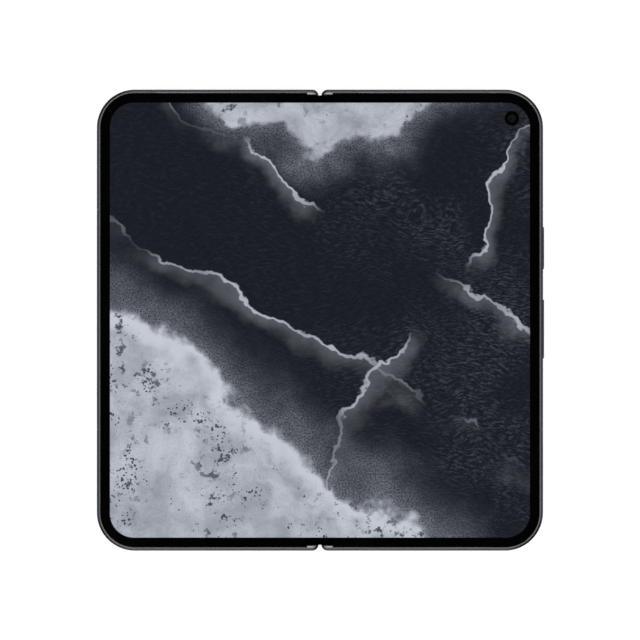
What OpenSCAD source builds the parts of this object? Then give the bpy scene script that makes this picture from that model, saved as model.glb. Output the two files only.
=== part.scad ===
// Foldable smartphone, fully unfolded, lying on its back with the inner screen up.
// X runs across the fold, Y along it, Z out of the screen. Heights are counted from the flat
// backs of the halves, and the whole phone is lifted so that its camera window stands at Z = 0.
// Right-hand pieces are drawn as they are, and left-hand ones are mirrored where they match.

/* [Body] */
// Width of one half, from the fold line to its outer edge
half_w = 75.1; // [72:0.1:80]
// Height of the body along the fold
body_h = 155.2; // [150:0.1:165]
// Thickness of one half
body_t = 5.1; // [5:0.05:5.6]
// Plan radius of the outer corners
corner_r = 12.8; // [10:0.1:15]
// Plan radius of the frame's corners beside the hinge
hinge_corner_r = 2.1; // [1.9:0.05:2.6]
// Radius of the rounding along the frame's outer edges
edge_r = 0.75; // [0.5:0.05:0.9]
// Width of the frame's rim that shows round the screen
rim_w = 1.15; // [1:0.05:1.3]
// Width of the frame's bright land beside the hinge
hinge_land_w = 1.65; // [1.4:0.05:1.7]
// Distance of that land's end from the fold line
hinge_land_x = 4.3; // [3.8:0.1:5]
// Width of the frame's rim that shows round the back
back_rim_w = 1; // [0.9:0.05:1.1]
// Thickness of the frame's side wall below the rim
wall_t = 1.7; // [1.6:0.05:2]
// Thickness of the deck that carries the screen
deck_t = 0.6; // [0.4:0.05:0.7]
// Distance of the frame's ends from the fold line
notch_half_gap = 0.5; // [0.4:0.05:0.8]
// Distance of the hinge lips from the fold line
lip_half_gap = 0.1; // [0.05:0.05:0.2]
// Width of the metal strip between each rear glass and the fold line
hinge_strip_w = 1.5; // [1.2:0.1:2.5]
// Thickness of the glass on each back
glass_t = 0.55; // [0.5:0.05:0.6]

/* [Inner screen] */
// Thickness of the folding screen
display_t = 0.55; // [0.45:0.05:0.6]
// Depth of the screen below the bezel's top
display_drop = 0.15; // [0.1:0.01:0.2]
// Thickness of the support plates under the screen
support_t = 0.3; // [0.25:0.01:0.35]
// Width of the black bezel strip
bezel_w = 3.25; // [2.8:0.05:3.8]
// Corner radius of the lit area
lit_corner_r = 8.1; // [6:0.1:9]
// Distance of the screen's edge from the frame's outer face
display_inset = 2; // [1.8:0.05:2.1]
// Half the width of the screen's soft stretch
soft_half_w = 5; // [4.9:0.05:5.6]
// Slope of the bezel strips' ends beside the hinge, as a length
bezel_slant = 0.8; // [0.3:0.1:1.2]

/* [Hinge] */
// Gap between the two rims when the phone is shut
shut_gap = 0.3; // [0.2:0.05:0.4]
// Outer radius of the spine cover's two rounded sides
spine_r = 3.2; // [3.1:0.02:3.3]
// Wall thickness of the spine cover
spine_wall = 0.45; // [0.35:0.01:0.45]
// Distance of the spine cover's ends from the ends of the body
spine_inset = 1.9; // [1.85:0.05:2.2]
// Thickness of the spine cover's end walls
spine_end_t = 0.6; // [0.4:0.05:1]
// Gap between the spine cover and the lips round it
spine_gap = 0.1; // [0.08:0.01:0.15]
// Gap between each hinge module and the spine cover's end wall
module_gap = 3.3; // [2:0.1:5]
// Inner radius of the curved rail on each rotating arm
rail_r = 1.5; // [1.45:0.01:1.55]
// Thickness of that rail
rail_t = 0.6; // [0.5:0.01:0.6]
// Gap all round the rail in its track
rail_gap = 0.08; // [0.05:0.01:0.08]
// Width of a rotating arm
arm_w = 6; // [5:0.1:6.2]
// Thickness of the arms where they leave the spine
arm_t = 0.4; // [0.3:0.01:0.4]
// Thickness of the webs between the tracks
web_w = 2; // [1.8:0.05:2.2]
// Distance of an arm's end from the fold line
arm_reach = 12; // [11.5:0.1:13]
// Pitch radius of the timing gears
gear_r = 0.8; // [0.79:0.01:0.81]
// Teeth on each timing gear
gear_teeth = 12; // [12:2:12]
// Width of the timing gears
gear_w = 2.2; // [1.6:0.1:2.4]
// Radius of the gear shafts
shaft_r = 0.35; // [0.3:0.01:0.36]
// Gap between a gear's bore and its shaft
bore_gap = 0.03; // [0.02:0.01:0.05]
// Distance of a timing arm's end from the fold line
timing_reach = 9; // [8:0.1:10]
// Thickness of the timing arms
timing_t = 0.3; // [0.25:0.01:0.3]
// Spring washers in each stack
washers = 6; // [3:1:6]
// Width of a wing plate
wing_w = 3; // [2.9:0.01:3]

/* [Keys] */
// Distance that the keys stand out of the frame
key_out = 0.4; // [0.3:0.05:0.5]
// Height of the keys
key_h = 2; // [1.6:0.1:2.2]
// Gap round the keys in the frame
key_gap = 0.12; // [0.1:0.01:0.15]
// Travel of the keys
key_travel = 0.25; // [0.2:0.01:0.3]
// Length of the power key
power_len = 14.2; // [12:0.1:16]
// Place of the power key along the fold
power_y = 24.3; // [22:0.1:28]
// Length of the volume rocker
volume_len = 19.8; // [17:0.1:21]
// Place of the volume rocker along the fold
volume_y = -3; // [-6:0.1:-1]

/* [Ports] */
// Width of the charging port's mouth
port_w = 9; // [8.6:0.1:9.4]
// Height of the charging port's mouth
port_h = 2.9; // [2.8:0.02:2.95]
// Distance of the charging port from the frame's outer side
port_side = 37.5; // [35:0.1:40]
// Width of the card tray's face
tray_w = 14.5; // [14:0.1:16]
// Height of the card tray's face
tray_h = 1.7; // [1.5:0.05:1.9]
// Distance of the card tray from the frame's outer side
tray_side = 37.5; // [35:0.1:40]
// Radius of the sound holes
sound_hole_r = 0.5; // [0.4:0.05:0.6]
// Sound holes in each row
sound_holes = 6; // [3:1:6]

/* [Cameras] */
// Width of the camera island
island_w = 38; // [36:0.5:42]
// Length of the camera island along the fold
island_h = 31; // [30:0.5:34]
// Distance that the island stands out of the back
island_t = 2.1; // [1.6:0.05:2.6]
// Distance that the window stands out of the island
window_out = 0.3; // [0.2:0.05:0.5]
// Thickness of the island's window
window_t = 0.8; // [0.6:0.05:1]
// Distance of the island from the frame's outer side
island_side = 12.1; // [11:0.1:14]
// Distance of the island from the frame's upper end
island_end = 10.6; // [10:0.1:12]
// Radius of the main camera's barrel
main_lens_r = 5.4; // [5:0.1:5.6]
// Radius of the wide and tele cameras' barrels
side_lens_r = 4.3; // [4:0.1:4.6]
// Radius of the hole for the inner camera
inner_cam_r = 2.3; // [2:0.05:2.5]
// Distance of the inner camera from the frame's outer side
inner_cam_side = 10.5; // [10:0.1:12]
// Distance of the inner camera from the frame's upper end
inner_cam_end = 9.7; // [9:0.1:11]
// Distance of the cover camera from the frame's outer side
cover_cam_side = 37.5; // [35:0.1:40]
// Distance of the cover camera from the frame's upper end
cover_cam_end = 7.2; // [6.8:0.1:9]
// Radius of the cover camera
cover_cam_r = 1.9; // [1.7:0.05:2.1]

/* [Hidden] */
$fn = 48;
// Straight pieces that each rounded corner of the case is made of
corner_steps = 30;

// Heights, counted from the flat backs
display_top = body_t - display_drop;
display_z = display_top - display_t;
deck_top = display_z - support_t;
deck_z = deck_top - deck_t;
lift = island_t + window_out;

// Hinge: each half turns about its own line through (pivot_x, pivot_z)
pivot_z = deck_top;
pivot_x = body_t - pivot_z + shut_gap / 2;
lip_t = pivot_z - spine_r - spine_gap;
spine_len = body_h - 2 * spine_inset;
spine_top_drop = 0.1;
spine_in_r = spine_r - spine_wall;
base_r = spine_in_r - 0.1;
bay_wall_x = 4.7;
bay_wall_t = 0.6;
deck_x = soft_half_w + 0.05;
end_clear = 0.1;
end_round_r = pivot_x - 0.1;
exit_z = pivot_z - 1.05;
arm_z = exit_z + 0.05;
gear_z = exit_z;
gear_x = [3 * gear_r, gear_r];
gear_play = 0.1;
gear_tip_r = gear_r * 1.14;
gear_root_r = gear_r * 0.81;
bore_r = shaft_r + bore_gap;
pocket_w = gear_w + 2 * gear_play;
washer_t = 0.3;
washer_pitch = 0.5;
washer_pocket_w = washers * washer_pitch + 0.4;
module_end = spine_len / 2 - spine_end_t - module_gap;
module_start = module_end - 5 * web_w - 2 * arm_w - pocket_w - washer_pocket_w;
left_arm_y = module_start + web_w;
right_arm_y = left_arm_y + arm_w + web_w;
gear_y = right_arm_y + arm_w + web_w;
washer_y = gear_y + pocket_w + web_w;
cable_t = 0.15;
cable_reach = 14;
cable_dip = 1.1;

// Inside the halves
bay_x = arm_reach + 1;
bay_right = half_w - wall_t - 4;
cell_z = 1.5;
cell_top = deck_z - 0.1;
board_t = 0.7;
board_top = deck_z - 0.3;
board_z = board_top - board_t;
fit = 0.05;
band_w = 1.2;
band_top_x = [12.25, half_w - 19];
band_side_y = [37.3, -36.8];
inner_cam = [half_w - inner_cam_side, body_h / 2 - inner_cam_end];
cover_cam = [half_w - cover_cam_side, body_h / 2 - cover_cam_end];
port_x = half_w - port_side;
tray_x = half_w - tray_side;
island_x = half_w - island_side - island_w / 2;
island_y = body_h / 2 - island_end - island_h / 2;
key_z = 2.5;
flange_gap = 0.05;
flange_t = 0.4;
port_z = 2.4;
port_depth = 7.2;
tray_z = 2.3;
tray_depth = 15;
tray_face_t = 1.2;
window_inset = 2.6;

// Batteries, boards and speakers keep to the ends and sides of their half
right_cell_low = 25.6;
left_cell_low = 22.6;
cell_high = 59.6;
cell_y1 = body_h / 2 - cell_high;
cell_tab = 2.5;
board_gap = 4;
board_y0 = cell_y1 + board_gap;
board_y1 = body_h / 2 - 6.6;
left_board_y1 = body_h / 2 - 11.6;
left_board_x1 = bay_right - 9.4;
board_arm_h = 11;
camera_gap = 3.6;
camera_base_edge = 0.4;
shield_edge = 1.5;
shield_gap = 2.5;
speaker_w = 13.5;
speaker_side = 13.1;
speaker_x = half_w - speaker_side - speaker_w;
speaker_len = 14.9;
ear_w = 11;
ear_side = 21.1;
ear_x = half_w - ear_side - ear_w;
ear_len = 7.4;
cable_w = 12;
cable_y = [board_y0 + 2, board_y0 + 2 + cable_w];
foot_y = cable_y[0] - 6;
motor_w = 10;
motor_len = 12;
motor_end = 3.6;
sound_pitch = 1.7;
sound_x = band_top_x[1] - band_w / 2 - sound_hole_r - 0.15 - (sound_holes - 1) * sound_pitch;
coil_r = 24;
coil_hole_r = 9;

echo(shut_thickness = 2 * (pivot_x + pivot_z), shut_width = half_w - pivot_x + spine_r);

// Points on an arc about [cx, cy]
function arc(cx, cy, r, from, to, steps) =
    [for (i = [0 : steps]) let (a = from + (to - from) * i / steps)
        [cx + r * cos(a), cy + r * sin(a)]];

// Outline of a plate in the right half: straight at x0 beside the fold, rounded at the far corners
function half_outline(x0, inset, r, r0 = 0) =
    let (x1 = half_w - inset, y1 = body_h / 2 - inset, n = corner_steps)
    concat(
        r0 > 0 ? arc(x0 + r0, -y1 + r0, r0, 180, 270, 6) : [[x0, -y1]],
        arc(x1 - r, -y1 + r, r, 270, 360, n),
        arc(x1 - r, y1 - r, r, 0, 90, n),
        r0 > 0 ? arc(x0 + r0, y1 - r0, r0, 90, 180, 6) : [[x0, y1]]);

// Outline of a slot with round ends, len long and h high
function slot_outline(len, h) =
    concat(arc(len / 2 - h / 2, 0, h / 2, -90, 90, 10), arc(-len / 2 + h / 2, 0, h / 2, 90, 270, 10));

// Outline of a rectangle with rounded corners about the origin
function box_outline(w, h, r) = concat(
    arc(w / 2 - r, h / 2 - r, r, 0, 90, 18), arc(-w / 2 + r, h / 2 - r, r, 90, 180, 18),
    arc(-w / 2 + r, -h / 2 + r, r, 180, 270, 18), arc(w / 2 - r, -h / 2 + r, r, 270, 360, 18));

// Section of the frame's wall: depth in from the outer face, then height
function wall_section(rim, inner) = concat(
    arc(edge_r, edge_r, edge_r, 180, 270, 5),
    [[back_rim_w, 0], [back_rim_w, glass_t], [inner, glass_t],
     [inner, deck_top], [rim, deck_top], [rim, body_t]],
    arc(edge_r, body_t - edge_r, edge_r, 90, 180, 5));

// Section of the spine cover's outer or inner skin, open at the top
function spine_section(r) = let (a = asin(spine_top_drop / r)) concat(
    arc(-pivot_x, pivot_z, r, 180 + a, 270, 20), arc(pivot_x, pivot_z, r, 270, 360 - a, 20));

// Section of a ring segment about the right-hand pivot
function ring_section(r1, r2, from, to, n) =
    concat(arc(pivot_x, pivot_z, r2, from, to, n), arc(pivot_x, pivot_z, r1, to, from, n));

module lifted() { translate([0, 0, lift]) children(); }
module mirrored() { mirror([1, 0, 0]) children(); }
module both_ends() { children(); mirror([0, 1, 0]) children(); }
// Stretches an XZ outline along Y, from y0 to y1
module along_y(y0, y1) { translate([0, y1, 0]) rotate([90, 0, 0]) linear_extrude(y1 - y0) children(); }
// Stretches a YZ outline along X, from x0 to x1
module along_x(x0, x1) { translate([x0, 0, 0]) rotate([90, 0, 90]) linear_extrude(x1 - x0) children(); }
// Box between two corners
module block(a, b) { translate(a) cube(b - a); }
module plate(x0, inset, r, z0, t, r0 = 0) {
    translate([0, 0, z0]) linear_extrude(t) polygon(half_outline(x0, inset, r, r0));
}

// Frames

module side_wall(section, y0, y1) {
    translate([half_w, y0, 0]) rotate([90, 0, 180]) linear_extrude(y1 - y0) polygon(section);
}

module end_wall(section, x0, x1) {
    translate([x1, body_h / 2, 0]) rotate([90, 0, -90]) linear_extrude(x1 - x0) polygon(section);
}

module wall_corner(section, r) {
    rotate_extrude(angle = 90, $fn = 4 * corner_steps) polygon([for (p = section) [r - p[0], p[1]]]);
}

module frame_ring() {
    section = wall_section(rim_w, wall_t);
    land = wall_section(hinge_land_w, wall_t);
    y1 = body_h / 2 - corner_r;
    side_wall(section, -y1, y1);
    both_ends() {
        translate([half_w - corner_r, y1, 0]) wall_corner(section, corner_r);
        end_wall(section, hinge_land_x, half_w - corner_r);
        end_wall(land, notch_half_gap + hinge_corner_r, hinge_land_x);
        translate([notch_half_gap + hinge_corner_r, body_h / 2 - hinge_corner_r, 0])
            rotate([0, 0, 90]) wall_corner(land, hinge_corner_r);
    }
}

// Thin skin under the spine, with the metal strip that shows beside the fold line
module hinge_lip() {
    tip = 0.25;
    x0 = lip_half_gap;
    x1 = x0 + hinge_strip_w;
    y1 = body_h / 2 - wall_t + 0.2;
    along_y(-y1, y1) polygon([
        [x0 + tip, 0], [x1, 0], [x1, glass_t], [bay_wall_x + bay_wall_t, glass_t],
        [bay_wall_x + bay_wall_t, deck_z + 0.1], [bay_wall_x, deck_z + 0.1], [bay_wall_x, lip_t],
        [x0, lip_t], [x0, tip]]);
}

module frame_deck() { plate(deck_x, wall_t - 0.2, corner_r - wall_t + 0.2, deck_z, deck_t); }

// Room for the spine, the other half and the arms, cut from each frame
module hinge_room(arm_y) {
    y1 = spine_len / 2 + end_clear;
    both_ends() {
        block([-1, body_h / 2 - hinge_corner_r - 1, lip_t], [bay_wall_x, y1, body_t + 1]);
        block([-1, spine_len / 2 - 0.4, -1], [notch_half_gap, body_h, body_t + 1]);
        block([bay_wall_x - 1, arm_y - 0.15, exit_z - 0.1],
              [bay_wall_x + 1, arm_y + arm_w + 0.15, deck_z]);
        block([bay_wall_x - 1, gear_y - 0.1, exit_z - 0.75],
              [bay_wall_x + 1, gear_y + pocket_w + 0.1, deck_z]);
    }
    block([bay_wall_x - 1, cable_y[0] - 0.3, exit_z - 0.05], [bay_wall_x + 1, cable_y[1] + 0.3, deck_z]);
    over = pivot_x + body_h;
    along_y(-over, over) polygon(concat(
        arc(pivot_x, pivot_z, end_round_r, 90, 150, 8),
        [[-1, pivot_z + end_round_r / 2], [-1, body_t + 1], [pivot_x, body_t + 1]]));
}

module screw_holes(arm_y, r) {
    for (x = arm_screw_x(), y = arm_screw_y(arm_y)) translate([x, y, deck_z - 1]) cylinder(h = 3, r = r);
}

function arm_screw_x() = [arm_screw_in, arm_reach - arm_screw_edge];
function arm_screw_y(arm_y) = [arm_y + arm_w / 2, -arm_y - arm_w / 2];
arm_screw_in = 7;
arm_screw_edge = 1.7;
arm_bend = 2.35;
screw_head_r = 0.95;
screw_head_t = 0.35;
screw_r = 0.45;

// Slots for the antenna bands, or the bands themselves with cut left at 0
module band_at_side(y) {
    side_wall(band_section(), y - band_w / 2, y + band_w / 2);
}

module band_at_end(x) { end_wall(band_section(), x - band_w / 2, x + band_w / 2); }

function band_section() = concat(
    arc(edge_r, edge_r, edge_r, 180, 270, 5),
    [[back_rim_w, 0], [back_rim_w, glass_t], [rim_w, glass_t], [rim_w, body_t]],
    arc(edge_r, body_t - edge_r, edge_r, 90, 180, 5));

module antenna_bands() {
    for (y = band_side_y) band_at_side(y);
    both_ends() for (x = band_top_x) band_at_end(x);
}

module band_slots() {
    for (y = band_side_y)
        block([half_w - rim_w, y - band_w / 2, -1], [half_w + 1, y + band_w / 2, body_t + 1]);
    both_ends() for (x = band_top_x)
        block([x - band_w / 2, body_h / 2 - rim_w, -1], [x + band_w / 2, body_h / 2 + 1, body_t + 1]);
}

// Row of sound holes through an end wall, y_side is 1 at the top and -1 at the bottom
module sound_row(x0, count, y_side) {
    for (i = [0 : count - 1]) translate([x0 + i * sound_pitch, y_side * (body_h / 2 + 1), port_z])
        rotate([90 * y_side, 0, 0]) cylinder(h = wall_t + 2, r = sound_hole_r);
}

module key_slot(y, len) {
    translate([0, y, key_z]) along_x(half_w - wall_t - 0.5, half_w + 1)
        polygon(slot_outline(len + 2 * key_gap, key_h + 2 * key_gap));
}

module end_slot(x, z, w, h, depth) {
    translate([x, 0, z]) along_y(-body_h / 2 - 1, -body_h / 2 + depth) polygon(slot_outline(w, h));
}

module right_frame() color([0.30, 0.31, 0.33]) difference() {
    union() { frame_ring(); frame_deck(); hinge_lip(); }
    hinge_room(right_arm_y);
    band_slots();
    screw_holes(right_arm_y, screw_r + fit);
    both_ends() for (x = arm_screw_x())
        translate([x, right_arm_y + arm_w / 2, deck_top - screw_head_t])
            cylinder(h = 1, r = screw_head_r + fit);
    key_slot(power_y, power_len);
    key_slot(volume_y, volume_len);
    end_slot(port_x, port_z, port_w + 2 * fit, port_h + 2 * fit, wall_t + 0.5);
    block([port_x - port_w / 2 - 1, -body_h / 2 + wall_t - 0.1, deck_z - 1],
          [port_x + port_w / 2 + 1, -body_h / 2 + wall_t + port_depth, port_z + port_h / 2 + fit]);
    sound_row(sound_x, sound_holes, -1);
    sound_row(port_x - 11.1, 1, -1);
    sound_row(28, 1, 1);
    translate([inner_cam[0], inner_cam[1], deck_z - 1]) cylinder(h = 3, r = inner_cam_r);
}

module left_frame() color([0.30, 0.31, 0.33]) mirrored() difference() {
    union() { frame_ring(); frame_deck(); hinge_lip(); }
    hinge_room(left_arm_y);
    band_slots();
    screw_holes(left_arm_y, screw_r + fit);
    both_ends() for (x = arm_screw_x())
        translate([x, left_arm_y + arm_w / 2, deck_top - screw_head_t])
            cylinder(h = 1, r = screw_head_r + fit);
    end_slot(tray_x, tray_z, tray_w + 2 * key_gap, tray_h + 2 * key_gap, wall_t + 0.5);
    sound_row(tray_x + 21.9, 1, -1);
    sound_row(ear_x + 1, sound_holes, 1);
}

module left_antenna_bands() color([0.20, 0.20, 0.21]) mirrored() antenna_bands();
module right_antenna_bands() color([0.20, 0.20, 0.21]) antenna_bands();

// Backs

module back_glass() {
    plate(lip_half_gap + hinge_strip_w + fit, back_rim_w + fit, corner_r - back_rim_w - fit, 0, glass_t, 1);
}

module cover_glass() color([0.03, 0.03, 0.04]) mirrored() back_glass();

module rear_cover() color([0.16, 0.16, 0.18]) difference() {
    back_glass();
    translate([island_x, island_y, -1]) linear_extrude(3)
        polygon(box_outline(2 * hole_half[0], 2 * hole_half[1], 6));
}

module cover_display_panel() color([0.02, 0.02, 0.03]) mirrored() difference() {
    plate(bay_wall_x + bay_wall_t + 0.5, 3, corner_r - 3, glass_t, 0.7, 1);
    translate([cover_cam[0], cover_cam[1], 0]) cylinder(h = 3, r = cover_cam_r + fit);
}

module cover_camera() color([0.08, 0.08, 0.10]) mirrored() translate([cover_cam[0], cover_cam[1], 0]) {
    base = cover_cam_r + 0.7;
    translate([0, 0, glass_t]) cylinder(h = 1.4, r = cover_cam_r);
    block([-base, -base, glass_t + 1.2], [base, base, deck_z]);
}

// Camera island

module camera_island() color([0.26, 0.27, 0.29]) translate([island_x, island_y, -island_t]) difference() {
    lens_gap = 0.1;
    union() {
        linear_extrude(island_t) polygon(box_outline(island_w, island_h, 8));
    }
    translate([0, 0, -1]) linear_extrude(1 + window_t - window_out)
        polygon(box_outline(island_w - 2 * island_rim, island_h - 2 * island_rim, 8 - island_rim));
    for (p = [lens_main, lens_wide, lens_tele])
        translate([p[0], p[1], -1]) cylinder(h = island_t + 2, r = p[2] + lens_gap);
    translate([flash_at[0], flash_at[1], -1]) cylinder(h = island_t + 2, r = flash_r + lens_gap);
}

// Lenses, counted from the island's middle: each keeps its distance from the edges of the hole
// that the rear cover has for them
island_rim = 1.1;
flash_r = 1.8;
main_lens_edge = 2.4;
side_lens_edge = [4.5, 1.2];
hole_half = [island_w / 2 - window_inset, island_h / 2 - window_inset];
side_lens_at = hole_half - side_lens_edge - [side_lens_r, side_lens_r];
lens_main = [main_lens_edge + main_lens_r - hole_half[0], hole_half[1] - main_lens_edge - main_lens_r - 0.1,
             main_lens_r];
lens_wide = [side_lens_at[0], side_lens_at[1], side_lens_r];
lens_tele = [side_lens_at[0], -side_lens_at[1], side_lens_r];
flash_at = [lens_main[0], main_lens_edge + 0.1 + flash_r - hole_half[1]];

// Edge of the main board beside the main camera
board_leg_x = island_x + lens_main[0] - main_lens_r - camera_base_edge - camera_gap;

module camera_window() color([0.05, 0.05, 0.06]) translate([island_x, island_y, -island_t - window_out])
    linear_extrude(window_t)
        polygon(box_outline(island_w - 2 * island_rim - 2 * fit, island_h - 2 * island_rim - 2 * fit,
                            8 - island_rim - fit));

// Stepped barrel under the window, on a square base inside the body
module camera_module(p, base_top) {
    z0 = -island_t - window_out + window_t;
    base_w = 2 * (p[2] + camera_base_edge);
    translate([island_x + p[0], island_y + p[1], 0]) {
        difference() {
            translate([0, 0, z0]) cylinder(h = glass_t + 0.4 - z0, r = p[2]);
            translate([0, 0, z0 - 1]) cylinder(h = 1.9, r1 = p[2] - 0.4, r2 = p[2] * 0.45);
        }
        translate([-base_w / 2, -base_w / 2, glass_t + 0.3])
            cube([base_w, base_w, base_top - glass_t - 0.3]);
    }
}

module main_camera() color([0.10, 0.10, 0.12]) camera_module(lens_main, deck_z);
module wide_camera() color([0.10, 0.10, 0.12]) camera_module(lens_wide, deck_z);
module tele_camera() color([0.10, 0.10, 0.12]) camera_module(lens_tele, deck_z);

module flash_led() color([0.9, 0.88, 0.7]) {
    z0 = -island_t - window_out + window_t;
    translate([island_x + flash_at[0], island_y + flash_at[1], z0]) {
        cylinder(h = glass_t + 0.3 - z0, r = flash_r);
        base = flash_r + 0.4;
        block([-base, -base, glass_t + 0.2 - z0], [base, base, deck_z - z0]);
    }
}

module inner_camera() color([0.05, 0.05, 0.08]) translate([inner_cam[0], inner_cam[1], 0]) {
    lens_gap = 0.1;
    difference() {
        translate([0, 0, deck_z - 1])
            cylinder(h = display_top - deck_z + 0.9, r = inner_cam_r - lens_gap);
        translate([0, 0, display_top - 0.5]) cylinder(h = 1, r1 = 0.9, r2 = inner_cam_r - 0.5);
    }
    base = inner_cam_r + 0.7;
    block([-base, -base, glass_t + 0.9], [base, base, deck_z]);
}

// Inside the halves

module right_battery() color([0.14, 0.14, 0.15]) cell(coil_top + 0.1, right_cell_low);
module left_battery() color([0.14, 0.14, 0.15]) mirrored() cell(cell_z, left_cell_low);

module cell(z0, low) {
    block([bay_x, low - body_h / 2, z0], [bay_right, cell_y1, cell_top]);
    block([bay_x + 4, cell_y1, z0 + 0.3], [bay_right - 4, cell_y1 + cell_tab, cell_top - 0.3]);
}

coil_top = glass_t + 0.5;
coil_at = [(bay_x + bay_right) / 2, (right_cell_low - cell_high) / 2];

module charging_coil() color([0.72, 0.42, 0.22]) translate([coil_at[0], coil_at[1], glass_t]) difference() {
    cylinder(h = coil_top - glass_t, r = coil_r);
    translate([0, 0, -1]) cylinder(h = 3, r = coil_hole_r);
    for (r = [coil_hole_r + 2 : 2 : coil_r - 2]) translate([0, 0, -1]) difference() {
        cylinder(h = 1.3, r = r + 0.5);
        cylinder(h = 1.3, r = r);
    }
}

module left_board() color([0.10, 0.22, 0.16]) mirrored() {
    block([bay_x, board_y0, board_z], [left_board_x1, left_board_y1, board_top]);
    for (p = [[5, 4, 9, 9], [19, 8, 12, 8], [5, 22, 14, 12], [27, 26, 10, 10]])
        translate([bay_x + p[0], board_y0 + p[1], board_z - 1]) cube([p[2], p[3], 1]);
}

// Board with a notch round the camera bases
module main_board() color([0.10, 0.22, 0.16]) {
    translate([0, 0, board_z]) linear_extrude(board_t) polygon([
        [bay_x, board_y0], [bay_right, board_y0], [bay_right, board_y0 + board_arm_h],
        [board_leg_x, board_y0 + board_arm_h], [board_leg_x, board_y1], [bay_x, board_y1]]);
}

// Two shields along each arm of the board
module board_shields() color([0.62, 0.63, 0.65]) {
    leg_x = [bay_x + shield_edge, board_leg_x - shield_edge];
    leg_y = [board_y0 + shield_edge, board_y1 - shield_edge];
    leg_mid = (leg_y[0] + leg_y[1]) / 2;
    arm_x = [board_leg_x + shield_edge, bay_right - shield_edge];
    arm_mid = (arm_x[0] + arm_x[1]) / 2;
    shield(leg_x, [leg_y[0], leg_mid - shield_gap / 2]);
    shield(leg_x, [leg_mid + shield_gap / 2, leg_y[1]]);
    shield([arm_x[0], arm_mid - shield_gap / 2], [leg_y[0], board_y0 + board_arm_h - shield_edge]);
    shield([arm_mid + shield_gap / 2, arm_x[1]], [leg_y[0], board_y0 + board_arm_h - shield_edge]);
}

module shield(x, y) { block([x[0], y[0], glass_t + 0.3], [x[1], y[1], board_z]); }

module earpiece_speaker() color([0.16, 0.16, 0.17]) mirrored()
    block([ear_x, body_h / 2 - wall_t - ear_len, cell_z],
          [ear_x + ear_w, body_h / 2 - wall_t, cell_top + 0.1]);

module loudspeaker() color([0.16, 0.16, 0.17])
    block([speaker_x, wall_t - body_h / 2, glass_t + 0.3],
          [speaker_x + speaker_w, wall_t - body_h / 2 + speaker_len, cell_top + 0.1]);

module vibration_motor() color([0.6, 0.6, 0.62])
    translate([bay_x + 1, motor_end - body_h / 2, glass_t + 0.3])
        cube([motor_w, motor_len, cell_top - glass_t - 0.2]);

// Charging port: metal shell, tongue and the block behind them
module charging_port() color([0.55, 0.56, 0.58]) {
    shell_t = 0.3;
    y0 = -body_h / 2 + 0.3;
    translate([port_x, 0, port_z]) {
        difference() {
            along_y(y0, y0 + port_depth) polygon(slot_outline(port_w, port_h));
            along_y(y0 - 1, y0 + port_depth - 1)
                polygon(slot_outline(port_w - 2 * shell_t, port_h - 2 * shell_t));
        }
        block([-3.3, y0 + 0.8, -0.35], [3.3, y0 + port_depth - 0.5, 0.35]);
    }
    block([port_x - 6, y0 + port_depth, glass_t + 0.3], [port_x + 6, y0 + port_depth + 4, deck_z]);
}

// Card tray and its reader

module card_tray() color([0.30, 0.31, 0.33]) mirrored() translate([tray_x, 0, tray_z]) {
    y0 = -body_h / 2;
    difference() {
        union() {
            along_y(y0, y0 + tray_face_t) polygon(slot_outline(tray_w, tray_h));
            block([-tray_w / 2 + 1.3, y0 + tray_face_t - 0.1, -0.4],
                  [tray_w / 2 - 1.3, y0 + tray_depth, 0.4]);
        }
        block([-tray_w / 2 + 2.2, y0 + 2.4, -0.1], [tray_w / 2 - 2.2, y0 + tray_depth - 1, 1]);
        block([-tray_w / 2 + 2.8, y0 + 3, -1], [tray_w / 2 - 2.8, y0 + tray_depth - 1.6, 1]);
        translate([tray_w / 2 - 1.6, y0 - 1, 0]) rotate([-90, 0, 0]) cylinder(h = 1.6, r = 0.4);
    }
}

module card_reader() color([0.5, 0.51, 0.53]) mirrored() translate([tray_x, 0, tray_z]) {
    y0 = -body_h / 2 + wall_t;
    difference() {
        block([-tray_w / 2 - 0.2, y0, -1], [tray_w / 2 + 0.2, y0 + tray_depth, deck_z - tray_z]);
        block([-tray_w / 2 + 1.2, y0 - 1, -0.5], [tray_w / 2 - 1.2, y0 + tray_depth - wall_t + 0.1, 0.5]);
    }
}

// Keys

module key_body(y, len, depth) {
    translate([0, y, key_z]) along_x(half_w - depth, half_w + key_out) polygon(slot_outline(len, key_h));
}

module power_key() color([0.32, 0.33, 0.35]) {
    x1 = half_w - wall_t - flange_gap;
    key_body(power_y, power_len, wall_t + flange_gap + 0.1);
    block([x1 - flange_t, power_y - power_len / 2 - 0.8, key_z - key_h / 2],
          [x1, power_y + power_len / 2 + 0.8, key_z + key_h / 2]);
}

module volume_rocker() color([0.32, 0.33, 0.35]) {
    x1 = half_w - wall_t - flange_gap;
    key_body(volume_y, volume_len, wall_t - 0.2);
    for (s = [-1, 1]) translate([0, volume_y + s * volume_len * 0.36, key_z])
        block([x1 - flange_t, -0.8, -0.6], [half_w - wall_t + 0.3, 0.8, 0.6]);
    block([x1 - flange_t, volume_y - 0.9, key_z - key_h / 2 - 0.5],
          [x1 - 0.05, volume_y + 0.9, deck_z - 0.15]);
    block([x1 - flange_t, volume_y - 0.9, key_z - 0.6],
          [half_w - wall_t + 0.3, volume_y + 0.9, key_z + 0.6]);
}

// Strip behind the keys with a dome for each switch
module key_switches() color([0.55, 0.45, 0.2]) {
    x1 = half_w - wall_t - flange_gap - flange_t - key_travel - 0.15;
    strip_t = 0.3;
    block([x1 - strip_t - 0.4, volume_y - volume_len / 2, key_z - 0.9],
          [x1 - 0.4, power_y + power_len / 2, deck_z]);
    for (y = [power_y, volume_y - volume_len * 0.36, volume_y + volume_len * 0.36])
        translate([x1 - 0.45, y, key_z]) rotate([0, 90, 0]) cylinder(h = 0.45, r = 0.8);
}

// Inner screen

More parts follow.
